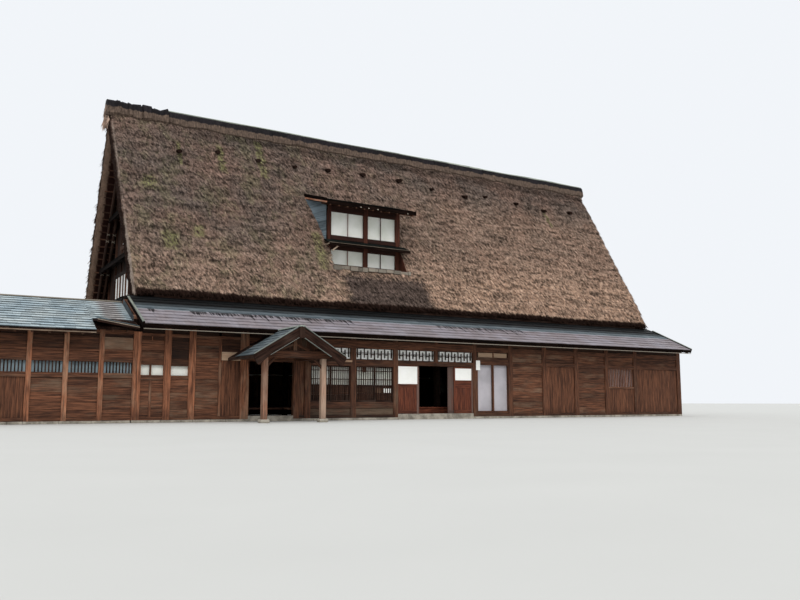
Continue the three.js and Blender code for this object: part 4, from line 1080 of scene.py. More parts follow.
def buildAnnexWalls():
    end, right, bay, depth, top = (annex[key] for key in ("left", "right", "bay", "depth", "top"))
    foot, sill = house["foot"], house["sill"]
    for word, t in (("front", Timbers(41)), ("back", Timbers(42, (end + right, depth, 0), (-1, 0, 0), (0, -1, 0)))):
        posts = [end + 0.075 + bay * i for i in range(6)]
        rails = [sill, (1.39, 1.47), (2.2, 2.27), (2.75, top)]
        t.framing([(x, 0.15) for x in posts], rails, (end, right), foot, top=top)
        for i, (a, b) in enumerate(zip(posts, posts[1:] + [right + 0.075])):
            u = (a + 0.075, b - 0.075)
            t.fill(u, (0.19, 1.39, "red" if i < 3 else "across"), (1.95, 2.2, "warm"),
                   (2.27, 2.66, "light" if i == 5 else "shaded"))
            t.box(u, (0.08, 0.12), (2.66, 2.75), (-0.3, -0.2), (0.0, 0.0))
            if word == "front":
                t.box(u, (0.02, 0.13), (1.47, 1.54), (0.2, 0.3))
                t.box(u, (0.02, 0.13), (1.88, 1.95), (0.0, 0.1))
                t.upright(u, (1.54, 1.88), 0.06, 0.095, 0.038, 0.03)
            else:
                t.fill(u, (1.47, 1.95, "across"))
        t.build(f"annex_{word}_timbers", wood["board"], replaced=[f"annex_{word}_wall"])
        if t.wires:
            growBars("annex_slit_bars", t.wires, wood["dark"], Dark=0.3, Light=0.9, Seed=6)

    t = Timbers(43, (end, depth, 0), (0, -1, 0), (1, 0, 0))
    under = annex["eave"][1] - 0.09 - annex["eave"][0] * annex["rise"] - 0.008
    slope = lambda u: under + min(u, depth - u) * annex["rise"]
    for x in (0.229, 1.14, 2.05, 2.96, 3.871):
        top = (lambda u: slope(2.05) - 0.04) if x == 2.05 else slope      # flat under the ridge
        t.upTo(top, x - 0.075, x + 0.075, foot, (0, 0.15), (0.35, 0.7))
    for rail in (sill, (1.39, 1.47), (2.45, 2.64)):
        t.box((0.154, depth - 0.154), house["rail"], rail, (0.3, 0.5))
    for u in ((0.3, 2.0), (2.1, 3.8)):
        t.boards(u, (2.64, 3.0), house["panel"], 0.2, True, slope, (0.3, 0.6))
    for u in ((0.3, 1.065), (1.215, 1.975), (2.125, 2.885), (3.035, 3.8)):
        t.fill(u, (0.19, 1.39, "across"), (1.47, 2.45, "across"))
    t.build("annex_end_timbers", wood["board"], replaced=["annex_end_wall"])
    print("annex walls built")


def buildAnnexRoof():
    right, depth, rise, join, hood = (annex[key] for key in ("right", "depth", "rise", "join", "hood"))
    front, low = annex["eave"]
    left = annex["left"] - annex["overhang"]
    ridge = depth / 2
    ridgeZ = low + (ridge - front) * rise
    start = hood["back"]
    height = low + (start - front) * rise
    for word, corner, side, length, run, seed in (
        ("front", (left, front, low), 1, join - left, ridge - front, 1),
        ("join", (join, start, height), 1, right - join, ridge - start, 2),
        ("back", (right, depth - front, low), -1, right - left, ridge - front, 3),
    ):
        layCourses(f"annex_roof_courses_{word}", roofs["annex"], corner, (side, 0, 0), (0, side), rise, length, run,
                   seed, *annex["course"])
    # hood: its eave lifts towards the far end
    tilt = Vector((right - join, 0, -hood["drop"])).normalized()
    layCourses("annex_hood_courses", roofs["hood"], (join, *hood["edge"]), tilt, (0, 0.85), height + 0.075 - 3.06,
               right - join, None, 4, 0.215, 0.3, 0.012, hood["slope"])
    t = Timbers(45)
    t.beam((join, 3.13), (right, 2.935), 0.022, (-0.73, -0.7), (0.2, 0.3), (0.6, 0.7))
    t.box((left, join), (-0.625, -0.6), (2.715, 2.745), (0.1, 0.2), (0.0, 0.1))
    t.box((left, right), (ridge - 0.09, ridge + 0.09), (ridgeZ + 0.01, ridgeZ + 0.05), (0.0, 0.1), (0.9, 1.0))
    t.build("annex_roof_boards", wood["pale"], "trim_wood")
    t = Timbers(46)
    t.beam((join, 3.085), (right, 2.895), 0.06, (-0.72, -0.66), (0.3, 0.4))
    for x in (left, join - 0.03):
        t.box((x - 0.01, x + 0.03), (-0.61, -0.25), (2.7, 2.83), (0.3, 0.5), grain="deep")
    t.box((-12.722, -12.44), (-0.016, -0.001), (2.86, 3.262), (-0.3, -0.2), (0.0, 0.1))
    t.build("annex_eave_timbers", wood["dark"], "trim_wood")
    # boards on the house's end wall between the annex roof and the pent roof's verge, kept dark as painted shade
    t = Timbers(47, (-house["half"], depth, 0), (0, -1, 0), (1, 0, 0))
    over = lambda y: low + (min(y, depth - y) - front) * rise
    pentUnder = lambda y: pent["eave"][1] + (y - pent["eave"][0]) * pent["rise"] - pent["thickness"] - 0.008
    for y in [0.16 + 0.2 * i for i in range(8)]:
        end = y + 0.19
        t.prism([(depth - y - 0.19, over(end)), (depth - y, over(y)), (depth - y, pentUnder(y)),
                 (depth - y - 0.19, pentUnder(end))], (-0.012, 0.001), (0, 1), (-0.3, 0.0), (0.3, 0.8))
    t.build("annex_flashing_boards", roofs["cheek"])
    wires = []
    for i in range(14):
        x = left + 0.2 + i * annex["rafterPitch"]
        if x < right - 0.1:
            for y0, y1 in ((front + 0.04 if x < join else -0.24, 0.0), (depth - front - 0.04, depth)):
                ends = [Vector((x, y, low - 0.125 + (min(y, depth - y) - front) * rise)) for y in (y0, y1)]
                wires.append((*ends, 0.06, 0.07))
    growBars("annex_rafters", wires, wood["board"], upwards, Seed=7, Dark=-0.1, Light=0.2)
    print("annex roof built")


# Pent roofs

pent = {
    "eave": (-0.75, 3.06),
    "rise": 0.4577,
    "thickness": 0.11,
    "half": 12.59,
    "top": 1.759,
    "course": (0.31, 0.46, 0.02),
    "rafterPitch": 0.45,
    "vergeReach": 1.5,
}


def buildPents():
    (y0, z0), rise, half, reach = (pent[key] for key in ("eave", "rise", "half", "vergeReach"))
    for word, side in (("front", 1), ("back", -1)):
        place = placeOn(side)
        layCourses(f"{word}_pent_courses", roofs["pent"], (-side * half, place(y0), z0), (side, 0, 0), (0, side), rise,
                   2 * half, pent["top"] - y0, 8 + side, *pent["course"])
        # a shadowed board under the courses and a thin light one below it
        for name, seed, look, w, z, tone, age in (
            ("eave_boards", 50, "dark", (-0.02, 0.0), (2.94, 3.035), (-0.5, -0.4), (0.0, 0.0)),
            ("eave_strip", 55, "pale", (-0.012, 0.04), (2.892, 2.916), (0.05, 0.15), (0.9, 1.0)),
        ):
            t = longTimbers(seed + side, side)
            t.box((-half, half), (y0 + w[0], y0 + w[1]), z, tone, age)
            t.build(f"{word}_{name}", wood[look], "trim_wood")
        wires = []
        count = round((2 * half - 0.3) / pent["rafterPitch"])
        low = z0 - pent["thickness"] - 0.045
        for i in range(count + 1):
            x = -half + 0.15 + i * (2 * half - 0.3) / count
            wires.append((Vector((x, place(y0 + 0.06), low + 0.06 * rise)), Vector((x, place(0.0), low - y0 * rise)),
                          0.065, 0.085))
        growBars(f"{word}_rafters", wires, wood["board"], upwards, Dark=-0.1, Light=0.25, Seed=9)
        # verge boards
        for end, endWord in ((-1, "left"), (1, "right")):
            at = lambda y: placeOn(end)(place(y))
            ends = sorted([(at(y0 - 0.02), z0 - 0.04), (at(reach), z0 - 0.04 + (reach - y0) * rise)])
            for seed, name, material, lift, width, w, tone, age in (
                (60, "verge", wood["dark"], 0.0, 0.19, (-0.03, 0.02), (-0.3, -0.2), (0.0, 0.0)),
                (65, "verge_cap", roofs["verge"], 0.1, 0.035, (-0.05, 0.02), (0.0, 0.2), (0.3, 0.5)),
            ):
                t = endTimbers(seed + side, end, half)
                t.beam(*((y, z + lift) for y, z in ends), width, w, tone, age)
                t.build(f"{word}_{name}_{endWord}", material, "trim_wood")
    print("pent roofs built")


# Gable ends

gable = {
    "face": 11.695,
    "foot": 4.01,
    "rows": [{"z": (4.7, 5.7), "half": 1.94, "panes": 4}, {"z": (6.95, 7.75), "half": 0.91, "panes": 2}],
    "mullion": 0.12,
    "roofs": [{"name": "middle", "outX": 12.18, "edge": 6.13, "half": 2.7},
              {"name": "upper", "outX": 12.12, "edge": 8.08, "half": 1.48}],
    "roofRise": 0.45,
    "footRoof": {"outX": 12.75, "neck": 12.49, "edge": 4.15, "rise": 0.4, "start": 1.78},
    "shingle": (0.24, 0.014),      # width and thickness
    "poleStep": 0.3,
    "poleWidth": 0.055,
    "poleReach": 7.6,              # up the slope
    "rafters": (11.82, 12.05),
    "ropeRows": (2, 3, 7, 12, 13),     # counted up the slope in poles; the others are too dark to tell
}


# Height of the thatch's underside over a place in front of the ridge
def thatchUnder(y):
    return thatch["eave"][2] + (min(y, house["depth"] - y) - thatch["eave"][1]) * pitchTangent \
        - thatch["thickness"] / pitchCosine


# First place behind the front eave where the thatch's underside clears a height
def clearOf(height, first):
    return next(y / 100 for y in range(first, 640) if thatchUnder(y / 100) > height)


def buildGable(word, side):
    face, foot, mullion, rise = gable["face"], gable["foot"], gable["mullion"], gable["roofRise"]
    # very low tones for the gable's boards, as painted shade under the thatch's overhang
    middle, paintedShade = house["middle"], ((-0.45, -0.25), (0.0, 0.1))
    t, panes = endTimbers(70 + side, side, face), endTimbers(78 + side, side, face)
    top = lambda u: thatchUnder(u) - 0.015
    for u, z, slope in (
        ((2.25, 4.36), (foot + 0.15, foot + 0.2), top), ((8.44, 10.55), (foot + 0.15, foot + 0.2), top),
        ((4.46, 5.39), (5.86, 6.0), top), ((7.41, 8.34), (5.86, 6.0), top), ((5.49, 7.31), (5.86, 6.77), None),
        ((5.49, 7.31), (7.91, 8.0), top), ((4.46, 8.34), (foot + 0.15, 4.52), None),
    ):
        t.boards(u, z, house["panel"], 0.2, True, slope, *paintedShade)
    t.box((1.965, 10.835), (0.0, 0.15), (foot, foot + 0.15), (0.2, 0.4))
    for row in gable["rows"]:
        (low, high), reach, count = row["z"], row["half"], row["panes"]
        a, b = middle - reach - 0.3, middle + reach + 0.3
        t.box((a, b), (0.004, 0.146), (low - 0.18, low), (-0.2, 0.0))
        # the rail above each row of panes is very dark, as painted shade under the small roof
        t.box((a, b), (0.004, 0.146), (high, high + 0.16), (-0.5, -0.4))
        width = (2 * reach - (count - 1) * mullion) / count
        for i in range(count + 1):
            x = middle - reach + i * (width + mullion) - mullion
            t.box((x, x + mullion), (0.0, 0.15), (low, high), (0.2, 0.5), (0.0, 0.1))
            if i < count:
                half = x + mullion + width / 2
                t.box((half - 0.045, half + 0.045), (0.008, 0.06), (low, high), (0.3, 0.6), (0.0, 0.1))
                panes.box((x + mullion - 0.01, x + mullion + width + 0.01), (0.04, 0.048), (low - 0.01, high + 0.01))
    for x, reach, start in (*((x, 0.06, foot + 0.15) for x in (3.2, 4.41, 8.39, 9.6)),
                            *((x, 0.055, 5.86) for x in (5.44, 7.36))):
        t.upTo(top, x - reach, x + reach, start, (0.0, 0.15), (-0.1, 0.1), (0.0, 0.1))
    for roof in gable["roofs"]:
        high = roof["edge"] + (roof["outX"] - face) * rise
        reach = min(roof["half"], middle - 0.05 - clearOf(high + 0.02, 200))
        # a nearly black board under each small roof, as painted shade
        t.box((middle - reach, middle + reach), (0.0, 0.15), (high - 0.11, high), (-0.5, -0.4))
    t.rebuild(f"gable_wall_{word}")
    panes.build(f"gable_panes_{word}", papers["sheet"], "window_paper", bevel=0.001)

    # small roofs
    low = gable["footRoof"]
    outX, neck = low["outX"], low["neck"]
    clear = clearOf(low["edge"] + 0.45, 170)
    rows = [(roof["name"], roof["outX"], roof["edge"], rise, roof["half"], roof["outX"] - face, 12, 0.24)
            for roof in gable["roofs"]]
    rows.append(("foot", outX, low["edge"], low["rise"], middle - low["start"], outX - neck, 14, 0.26))
    rows.append(("foot", neck, low["edge"] + (outX - neck) * low["rise"], low["rise"], middle - clear, neck - face, 15,
                 0.26))
    for name, x, edge, slope, half, run, seed, course in rows:
        inner = "_inner" if seed == 15 else ""
        layCourses(f"gable_{name}_courses{inner}_{word}", roofs["dark"], (side * x, middle - side * half, edge),
                   (0, side, 0), (-side, 0), slope, 2 * half, run, seed, course, *gable["shingle"])
        if name != "foot":
            t = endTimbers(74 + side, side, x)
            t.box((middle - half - 0.02, middle + half + 0.02), (-0.02, 0.03), (edge - 0.15, edge - 0.005),
                  (-0.4, -0.3), (0.0, 0.0))
            t.build(f"gable_{name}_fascia_{word}", wood["dark"], "trim_wood")

    # poles and rafters under the thatch's overhang, and the straw ropes that hold them
    poles, ropes, logs = [], [], []
    wander = random.Random(80 + side)
    step, width, (_, eaveY, eaveZ) = gable["poleStep"], gable["poleWidth"], thatch["eave"]
    for slopeSide in (1, -1):
        def at(x, along, deep):
            y = placeOn(slopeSide)(eaveY + along * pitchCosine + deep * pitchSine)
            return side * x, y, eaveZ + along * pitchSine - deep * pitchCosine

        for x in gable["rafters"]:
            logs.append((at(x, 0.15, 0.86), at(x, gable["poleReach"], 0.86), 0.13, 0.13))
        for i in range(int(gable["poleReach"] / step)):
            _, y, z = start = at(11.3, 0.3 + i * step, 0.755)
            lean = wander.uniform(-0.03, 0.03)
            verge = thatch["halfLength"] + (z - eaveZ) * thatch["lean"]
            end = (side * (verge - wander.uniform(0.12, 0.22)), y, z + lean)
            poles.append((start, end, width, width))
            if i in gable["ropeRows"]:
                ropes += [(at(x + shift, 0.26 + i * step, 0.935), at(x - shift, 0.34 + i * step, 0.935), 0.022, 0.022)
                          for x in gable["rafters"] for shift in (-0.065, 0.065)]
    # low tones on the poles and rafters paint the shade in the overhang's recess
    growBars(f"gable_poles_{word}", poles, wood["board"], upwards, True, Seed=16, Uneven=0.15, Dark=-0.4, Light=0.1)
    outwards = (side, 0.0, 0.0)
    growBars(f"gable_rafters_{word}", logs, wood["board"], outwards, True, Seed=17, Dark=-0.45, Light=-0.3)
    growBars(f"gable_ropes_{word}", ropes, wood["pale"], outwards, True, Seed=18, Dark=-0.1, Light=0.4, Age=0.8)
    print(word, "gable built")


# Dormer

dormer = {
    "face": 3.25,
    "x": (-4.43, -0.98),
    "foot": 6.0,
    "posts": [(-4.43, -4.27), (-2.74, -2.55), (-1.18, -0.98)],
    "mullions": (-3.47, -1.9),
    "rows": [(6.24, 6.91), (7.45, 8.5)],
    "roof": {"x": (-4.86, -0.64), "y": (2.45, 4.7), "z": 8.7, "rise": 0.3, "thickness": 0.14},
    "splay": 0.37,                 # of the left cheek, outwards as it runs back
    "rafterEnds": (-3.32, -2.95, -2.52, -1.06),
    "hood": {"x": (-4.6, -0.78), "y": (2.7, 3.25), "z": 7.03, "rise": 0.45},
    "sillTop": 6.08,
}


def buildDormer():
    (left, right), face, foot, roof, hood = (dormer[key] for key in ("x", "face", "foot", "roof", "hood"))
    (x0, x1), y0, roofZ = roof["x"], roof["y"][0], roof["z"]
    rise = lambda y: roofZ + (y - y0) * roof["rise"]
    under = lambda y: rise(y) - roof["thickness"] - 0.006
    t = Timbers(91, (0, face, 0))
    # posts, rails, header and the boards under the hood get low tones: partly the frame's darker red-brown, partly
    # painted shade under the roofs
    for u in dormer["posts"]:
        t.box(u, (-0.02, 0.1), (foot, under(face)), (-0.3, -0.15), (0.0, 0.1))
    for z in ((foot, 6.24), (6.91, 7.05), (7.3, 7.45), (8.5, under(face))):
        t.box((left, right), (-0.005, 0.09), z, (-0.5, -0.4), (0.0, 0.1))
    t.boards((left, right), (7.05, 7.3), (0.03, 0.09), 0.25, tone=(-0.5, -0.4))
    for x, look in zip(dormer["mullions"], (((1.3, 1.4), (1.0, 1.0)), ((-0.2, -0.1),))):
        for z in dormer["rows"]:
            t.box((x - 0.011, x + 0.011), (0.03, 0.08), z, *look)
    for low, high in dormer["rows"]:
        for a, b in zip(dormer["posts"], dormer["posts"][1:]):
            for z in ((low, low + 0.035), (high - 0.03, high)):
                t.box((a[1], b[0]), (0.02, 0.09), z, (-0.4, -0.3))
    t.build("dormer_window_timbers", wood["door"], "post_timber", ["dormer_walls"])
    # the lower windows' right jamb, as far out as the thatch
    _, eaveY, eaveZ = thatch["eave"]
    jamb = Timbers(99, (right, face, 0), (0, -1, 0), (1, 0, 0))
    surface = lambda z: face - eaveY - (z - eaveZ) / pitchTangent
    jamb.prism([(-0.02, 6.0), (surface(6.0), 6.0), (surface(7.05) + 0.02, 7.05), (-0.02, 7.05)], (-0.03, 0.0), (0, 1),
               (-0.2, -0.1))
    jamb.build("dormer_jamb", wood["door"], "post_timber")

    # cheeks of weathered boards, which run back to the underside of the thatch
    underY = lambda z: eaveY + (z + thatch["thickness"] / pitchCosine - eaveZ) / pitchTangent
    front = lambda z: max(face + 0.1, y0 + (z + roof["thickness"] + 0.01 - roofZ) / roof["rise"])
    bend = under(face + 0.1) - 0.01   # above it the boards' front ends follow the roof
    for word, side, x, splay, tone in (("left", -1, left, dormer["splay"], (0.2, 1.2)),
                                       ("right", 1, right, 0.0, (-0.3, 0.0))):
        sine, cosine = math.sin(splay), math.cos(splay)
        cheek = Timbers(93 + side, (x, face, 0), (-side * sine, side * cosine, 0), (-side * cosine, -side * sine, 0))
        at = lambda y: side * (y - face) / cosine
        z = foot
        while z < 9.1:
            high = min(z + cheek.random.uniform(0.18, 0.24), 9.15)
            if z < bend < high:
                high = bend
            corners = [(at(front(z)), z), (at(underY(z)), z), (at(underY(high)), high), (at(front(high)), high)]
            if side < 0:
                corners = [corners[i] for i in (1, 0, 3, 2)]
            cheek.prism(corners, (0.0, 0.05), (1, 0), tone, (0.3, 1.0))
            z = high + 0.003
        cheek.build(f"dormer_cheek_{word}", roofs["cheek"])

    # sill of uneven planks
    sill = Timbers(95)
    chance, sillTop = sill.random.uniform, dormer["sillTop"]
    x = left - 0.05
    while x < right:
        wide = chance(0.12, 0.4)
        sill.box((x, min(x + wide, right + 0.12)), (2.56 - chance(0, 0.12), face + 0.05),
                 (sillTop - chance(0.1, 0.17), sillTop + chance(0, 0.03)), (-0.25, 0.2), (0.8, 1.0), grain="deep")
        x += wide + 0.012
    sill.box((left, right + 0.1), (2.62, 2.7), (foot - 0.04, foot + 0.02), (0.2, 0.3))
    sill.build("dormer_sill_planks", wood["pale"], "trim_wood", ["dormer_sill"])

    edges = Timbers(97)
    for name, part, z, course, thickness, seed in (("roof", roof, (0.15, 0.015), 0.25, 0.014, 21),
                                                   ("hood", hood, (0.1, 0.005), 0.2, 0.012, 22)):
        (a, b), (start, end), height = part["x"], part["y"], part["z"]
        layCourses(f"dormer_{name}_courses", roofs["dark"], (a, start, height), (1, 0, 0), (0, 1), part["rise"], b - a,
                   end - start, seed, course, 0.24, thickness)
        edges.box((a - 0.01, b + 0.01), (start - 0.02, start + 0.02), (height - z[0], height + z[1]),
                  (-0.4, -0.3) if part is roof else (-0.3, -0.2), (0.0, 0.0))
    wires = []
    for i in range(11):
        x = x0 + 0.15 + i * (x1 - x0 - 0.3) / 10
        wires.append((Vector((x, y0 - 0.015, under(y0) - 0.035)), Vector((x, face, under(face) - 0.035)), 0.05, 0.055))
    growBars("dormer_rafters", wires, wood["board"], upwards, Seed=23, Dark=-0.2, Light=0.1)
    edges.build("dormer_roof_edges", wood["dark"], "trim_wood")
    trim = Timbers(96)
    for x in dormer["rafterEnds"]:
        trim.box((x - 0.02, x + 0.02), (y0 - 0.03, y0 - 0.012), (roofZ - 0.14, roofZ - 0.1), (0.6, 0.9), (1.0, 1.0))
    (a, b), (start, _), height = hood["x"], hood["y"], hood["z"]
    trim.beam((a - 0.01, height + 0.015), (b + 0.01, height + 0.015), 0.02, (start - 0.03, start + 0.02), (0.0, 0.1),
              (0.3, 0.5))
    trim.beam((-4.45, 6.72), (-4.1, 7.0), 0.05, (2.72, 2.78), (0.5, 0.6), (0.3, 0.4))
    trim.box((a - 0.03, a), (2.7, 3.2), (height - 0.06, height - 0.01), (0.4, 0.5), grain="deep")
    trim.build("dormer_trim", wood["pale"], "trim_wood")
    # light board along the left verge of the top roof, under the dark edge of the courses
    depth = house["depth"]
    for name, look, lift, width, out, tone in (("board", "post", -0.09, 0.07, -0.03, (2.0, 2.1)),
                                               ("edge", "dark", 0.015, 0.13, -0.04, (-0.4, -0.3))):
        verge = Timbers(98, (x0, depth, 0), (0, -1, 0), (1, 0, 0))
        verge.beam((depth - 4.6, rise(4.6) + lift), (depth - y0 + 0.02, rise(y0) + lift), width, (out, 0.0), tone,
                   (0.3, 0.4))
        verge.build(f"dormer_verge_{name}", wood[look], "trim_wood")
    print("dormer built")


# Porch

porch = {
    "x": -8.095,
    "postX": 1.015,
    "postY": -2.0,
    "post": 0.17,
    "beam": (2.06, 2.29),
    "front": -2.5,
    "apex": 3.03,
    "halfWidth": 1.53,
    "eave": 2.11,
    "thickness": 0.1,
    "drop": 0.29,                  # of the bargeboards below the apex
}


def buildPorch():
    px, half, post, postX, postY, front, apex, eave, thick, drop, (low, high) = (porch[key] for key in (
        "x", "halfWidth", "post", "postX", "postY", "front", "apex", "eave", "thickness", "drop", "beam"))
    slope = (apex - eave) / half
    top = lambda x: apex - abs(x) * slope
    y0, y1 = postY - post / 2, postY + post / 2

    posts, stones, t = (Timbers(seed, (px, 0, 0)) for seed in (101, 102, 103))
    t.box((-1.23, 1.23), (y0, y1), (low, high), (0.0, 0.1))
    for side, tone, age in ((-1, (0.6, 0.7), (0.35, 0.5)), (1, (1.1, 1.2), (0.8, 0.9))):
        x = side * postX
        u = (x - post / 2, x + post / 2)
        posts.box(u, (y0, y1), (0.1, low), tone, age)
        stones.box((x - 0.15, x + 0.15), (postY - 0.15, postY + 0.15), (0, 0.11))
        t.box(u, (y1, -0.002), (low, high - 0.02), (0.0, 0.1), grain="deep")
        t.beam((side * 0.06, high + 0.2), (side * 0.5, high + 0.02), 0.08, (y0 + 0.045, y1 - 0.045), (0.1, 0.2))
        t.beam((side * (postX - 0.32), low - 0.02), (side * (postX - 0.06), low - 0.3), 0.07, (y0 + 0.05, y1 - 0.05),
               (-0.1, 0.0))
    t.box((-0.06, 0.06), (y0 + 0.035, y1 - 0.035), (high, top(0.06) - thick - 0.004), (0.2, 0.3), grain=(0, 1))
    # boards in the triangle behind the king post
    t.boards((-1.0, 1.0), (high + 0.01, high + 0.02), (y1 - 0.07, y1 - 0.05), 0.18, True,
             lambda u: top(u) - thick - 0.01, (-0.3, -0.1))
    for x in (-0.75, 0.0, 0.75):
        z = top(x) - thick - 0.09
        t.box((x - 0.05, x + 0.05), (front + 0.01, -0.01), (z, z + 0.08), (0.2, 0.3), grain="deep")
    posts.build("porch_posts", wood["post"], "post_timber", ["porch_post_left", "porch_post_right"], bevel=0.012)
    stones.build("porch_post_stones", stone, "footing_stone", bevel=0.025)
    t.build("porch_frame_timbers", wood["board"], "post_timber", ["porch_frame"])

    # bargeboards with a curved, dropped foot
    t = Timbers(104, (px, 0, 0))
    tip = half + 0.06
    rightSide = [(0.0, apex + 0.03), (0.0, apex - drop), (half - 0.48, top(half - 0.48) - drop), (tip - 0.36, 1.95),
                 (tip - 0.25, 1.83), (tip - 0.2, 1.785), (tip - 0.12, 1.81), (tip - 0.03, top(tip) - 0.09),
                 (tip + 0.005, top(tip) - 0.03), (tip, top(tip) + 0.03)]
    for side in (1, -1):
        outline = [(side * u, z) for u, z in rightSide]
        t.prism(outline[::side], (front - 0.06, front), (0.86 * side, -0.5), (0.5, 0.7), (0.0, 0.2))
    t.box((-0.09, 0.09), (front - 0.09, front - 0.05), (apex - 0.36, apex - 0.02), (0.6, 0.7), grain=(0, 1))
    t.build("porch_bargeboards_cut", wood["dark"], "trim_wood", ["porch_bargeboards"])

    ridge = Timbers(105, (px, 0, 0))
    ridge.box((-0.1, 0.1), (front - 0.06, -0.8), (apex + 0.005, apex + 0.045), (0.6, 0.7), (0.9, 1.0), grain="deep")
    # the left courses start only as far back as the pent roof's edge lets them
    for word, side, start in (("left", -1, -0.78), ("right", 1, front)):
        layCourses(f"porch_courses_{word}", roofs["porch"], (px + side * half, start, eave), (0, side, 0), (-side, 0),
                   slope, 1.72, half, 24 + side, 0.22, 0.24, 0.014)
        ridge.beam((side * 0.06, apex + 0.035), (side * (half + 0.05), top(half + 0.05) + 0.045), 0.02,
                   (front - 0.06, front + 0.02), (0.1, 0.2), (0.95, 1.0))
        # worn lower edge of each bargeboard
        ridge.beam((0.0, apex - drop - 0.006), (side * (half - 0.48), top(half - 0.48) - drop - 0.006), 0.014,
                   (front - 0.064, front - 0.01), (0.0, 0.1), (0.95, 1.0))
    ridge.build("porch_roof_edges", roofs["verge"], "trim_wood")
    print("porch built")


# Footing stones and the step inside the entrance

footing = {
    "height": 0.044,               # of the stones' middle
    "stone": (0.35, 0.8),          # shortest and longest
    "rows": [
        ("front", (0, -1, 0), (-12.7, 0.07), (-2.995, 0.07)), ("front", (0, -1, 0), (0.485, 0.07), (12.7, 0.07)),
        ("back", (0, 1, 0), (-12.7, 12.73), (12.7, 12.73)), ("right", (1, 0, 0), (12.63, 0.16), (12.63, 12.64)),
        ("left", (-1, 0, 0), (-12.63, 0.16), (-12.63, 12.64)),
        ("annex_front", (0, -1, 0), (-18.82, 0.07), (-12.72, 0.07)),
        ("annex_back", (0, 1, 0), (-18.82, 4.03), (-12.72, 4.03)),
        ("annex_end", (-1, 0, 0), (-18.75, 0.16), (-18.75, 3.94)),
    ],
}


def stoneTree():
    tree = GeometryTree("footingStones", {"Facing": (0.0, -1.0, 0.0)})
    points, run = tree.edgePoints()
    stone = tree.cube((0.16, 0.075, 1.0), **{"Vertices X": 3, "Vertices Y": 3, "Vertices Z": 4})
    size = tree.joinXYZ(tree.chance(0.95, 1.1, 1), 1.0, tree.vector("LENGTH", run, out="Value") - 0.012)
    real = tree.realize(tree.repeat(points, stone, tree.turned(run, "X", tree.given["Facing"]), size))
    lump = tree.add("ShaderNodeTexNoise", None, {"Vector": tree.position, "Scale": 7.0}, out=1)
    push = tree.vector("MULTIPLY", tree.vector("SUBTRACT", lump, (0.5, 0.5, 0.5)), (0.03, 0.03, 0.012))
    return tree.finish(tree.move(real, Offset=push))


def buildFooting():
    tree = stoneTree()
    wander = random.Random(7)
    sides = {}
    for word, facing, start, end in footing["rows"]:
        start, end = Vector((*start, footing["height"])), Vector((*end, footing["height"]))
        length, run = (end - start).length, (end - start).normalized()
        place, corners = 0.0, sides.setdefault((word, facing), [])
        while place < length - 0.1:
            reach = min(place + wander.uniform(*footing["stone"]), length)
            corners += [start + run * place, start + run * reach]
            place = reach
    for (word, facing), corners in sides.items():
        mesh = newMesh(word, corners, [(i, i + 1) for i in range(0, len(corners), 2)])
        keep(grown(f"footing_stones_{word}", tree, {"Facing": tuple(map(float, facing)), "Material": stone}, mesh))

    t = Timbers(111)
    left, right = frontWall["entrance"]
    u = (left - 0.05, right + 0.05)
    t.boards(u, (0.0, 0.385), (1.155, 1.18), 0.19, tone=(0.6, 0.8), age=(0.0, 0.1))
    t.box(u, (1.13, 1.15), (0.4, 0.45), (0.7, 0.8), (0.0, 0.1))
    t.build("entrance_step", wood["door"], "floor_board")
    print("footing built")


# Ridge: bark sheets lapped along it, poles that hold them, and the ends of the poles run through the thatch

ridge = {
    "profile": [(0.0, 12.56), (0.09, 12.55), (0.185, 12.45), (0.245, 12.24), (0.27, 12.04), (0.2, 11.97)],
    "half": 12.72,
    "sheets": (0.5, 0.9),          # shortest and longest
    "worn": -10.3,                 # left of this the sheets are lumpy and carry no pole
    "foot": 12.2,
    "bark": 12.29,                 # straw below this height
    "poles": ((0.0, 12.6, 0.055), (-0.11, 12.56, 0.05), (0.11, 12.56, 0.05)),
    "poleEnds": [(-10.06, 10.63), (-8.44, 10.9), (-6.7, 10.8), (-5.02, 10.79), (-3.4, 10.89), (-1.6, 10.97),
                 (0.32, 10.97), (2.07, 10.77), (3.99, 10.65), (5.31, 10.85), (7.24, 10.73), (9.03, 10.56),
                 (10.9, 10.7)],
    "tuft": ((-0.08, -0.16, 0), (0.1, -0.08, -0.2), (0.08, 0.14, 0), (-0.1, 0.1, 0)),
}


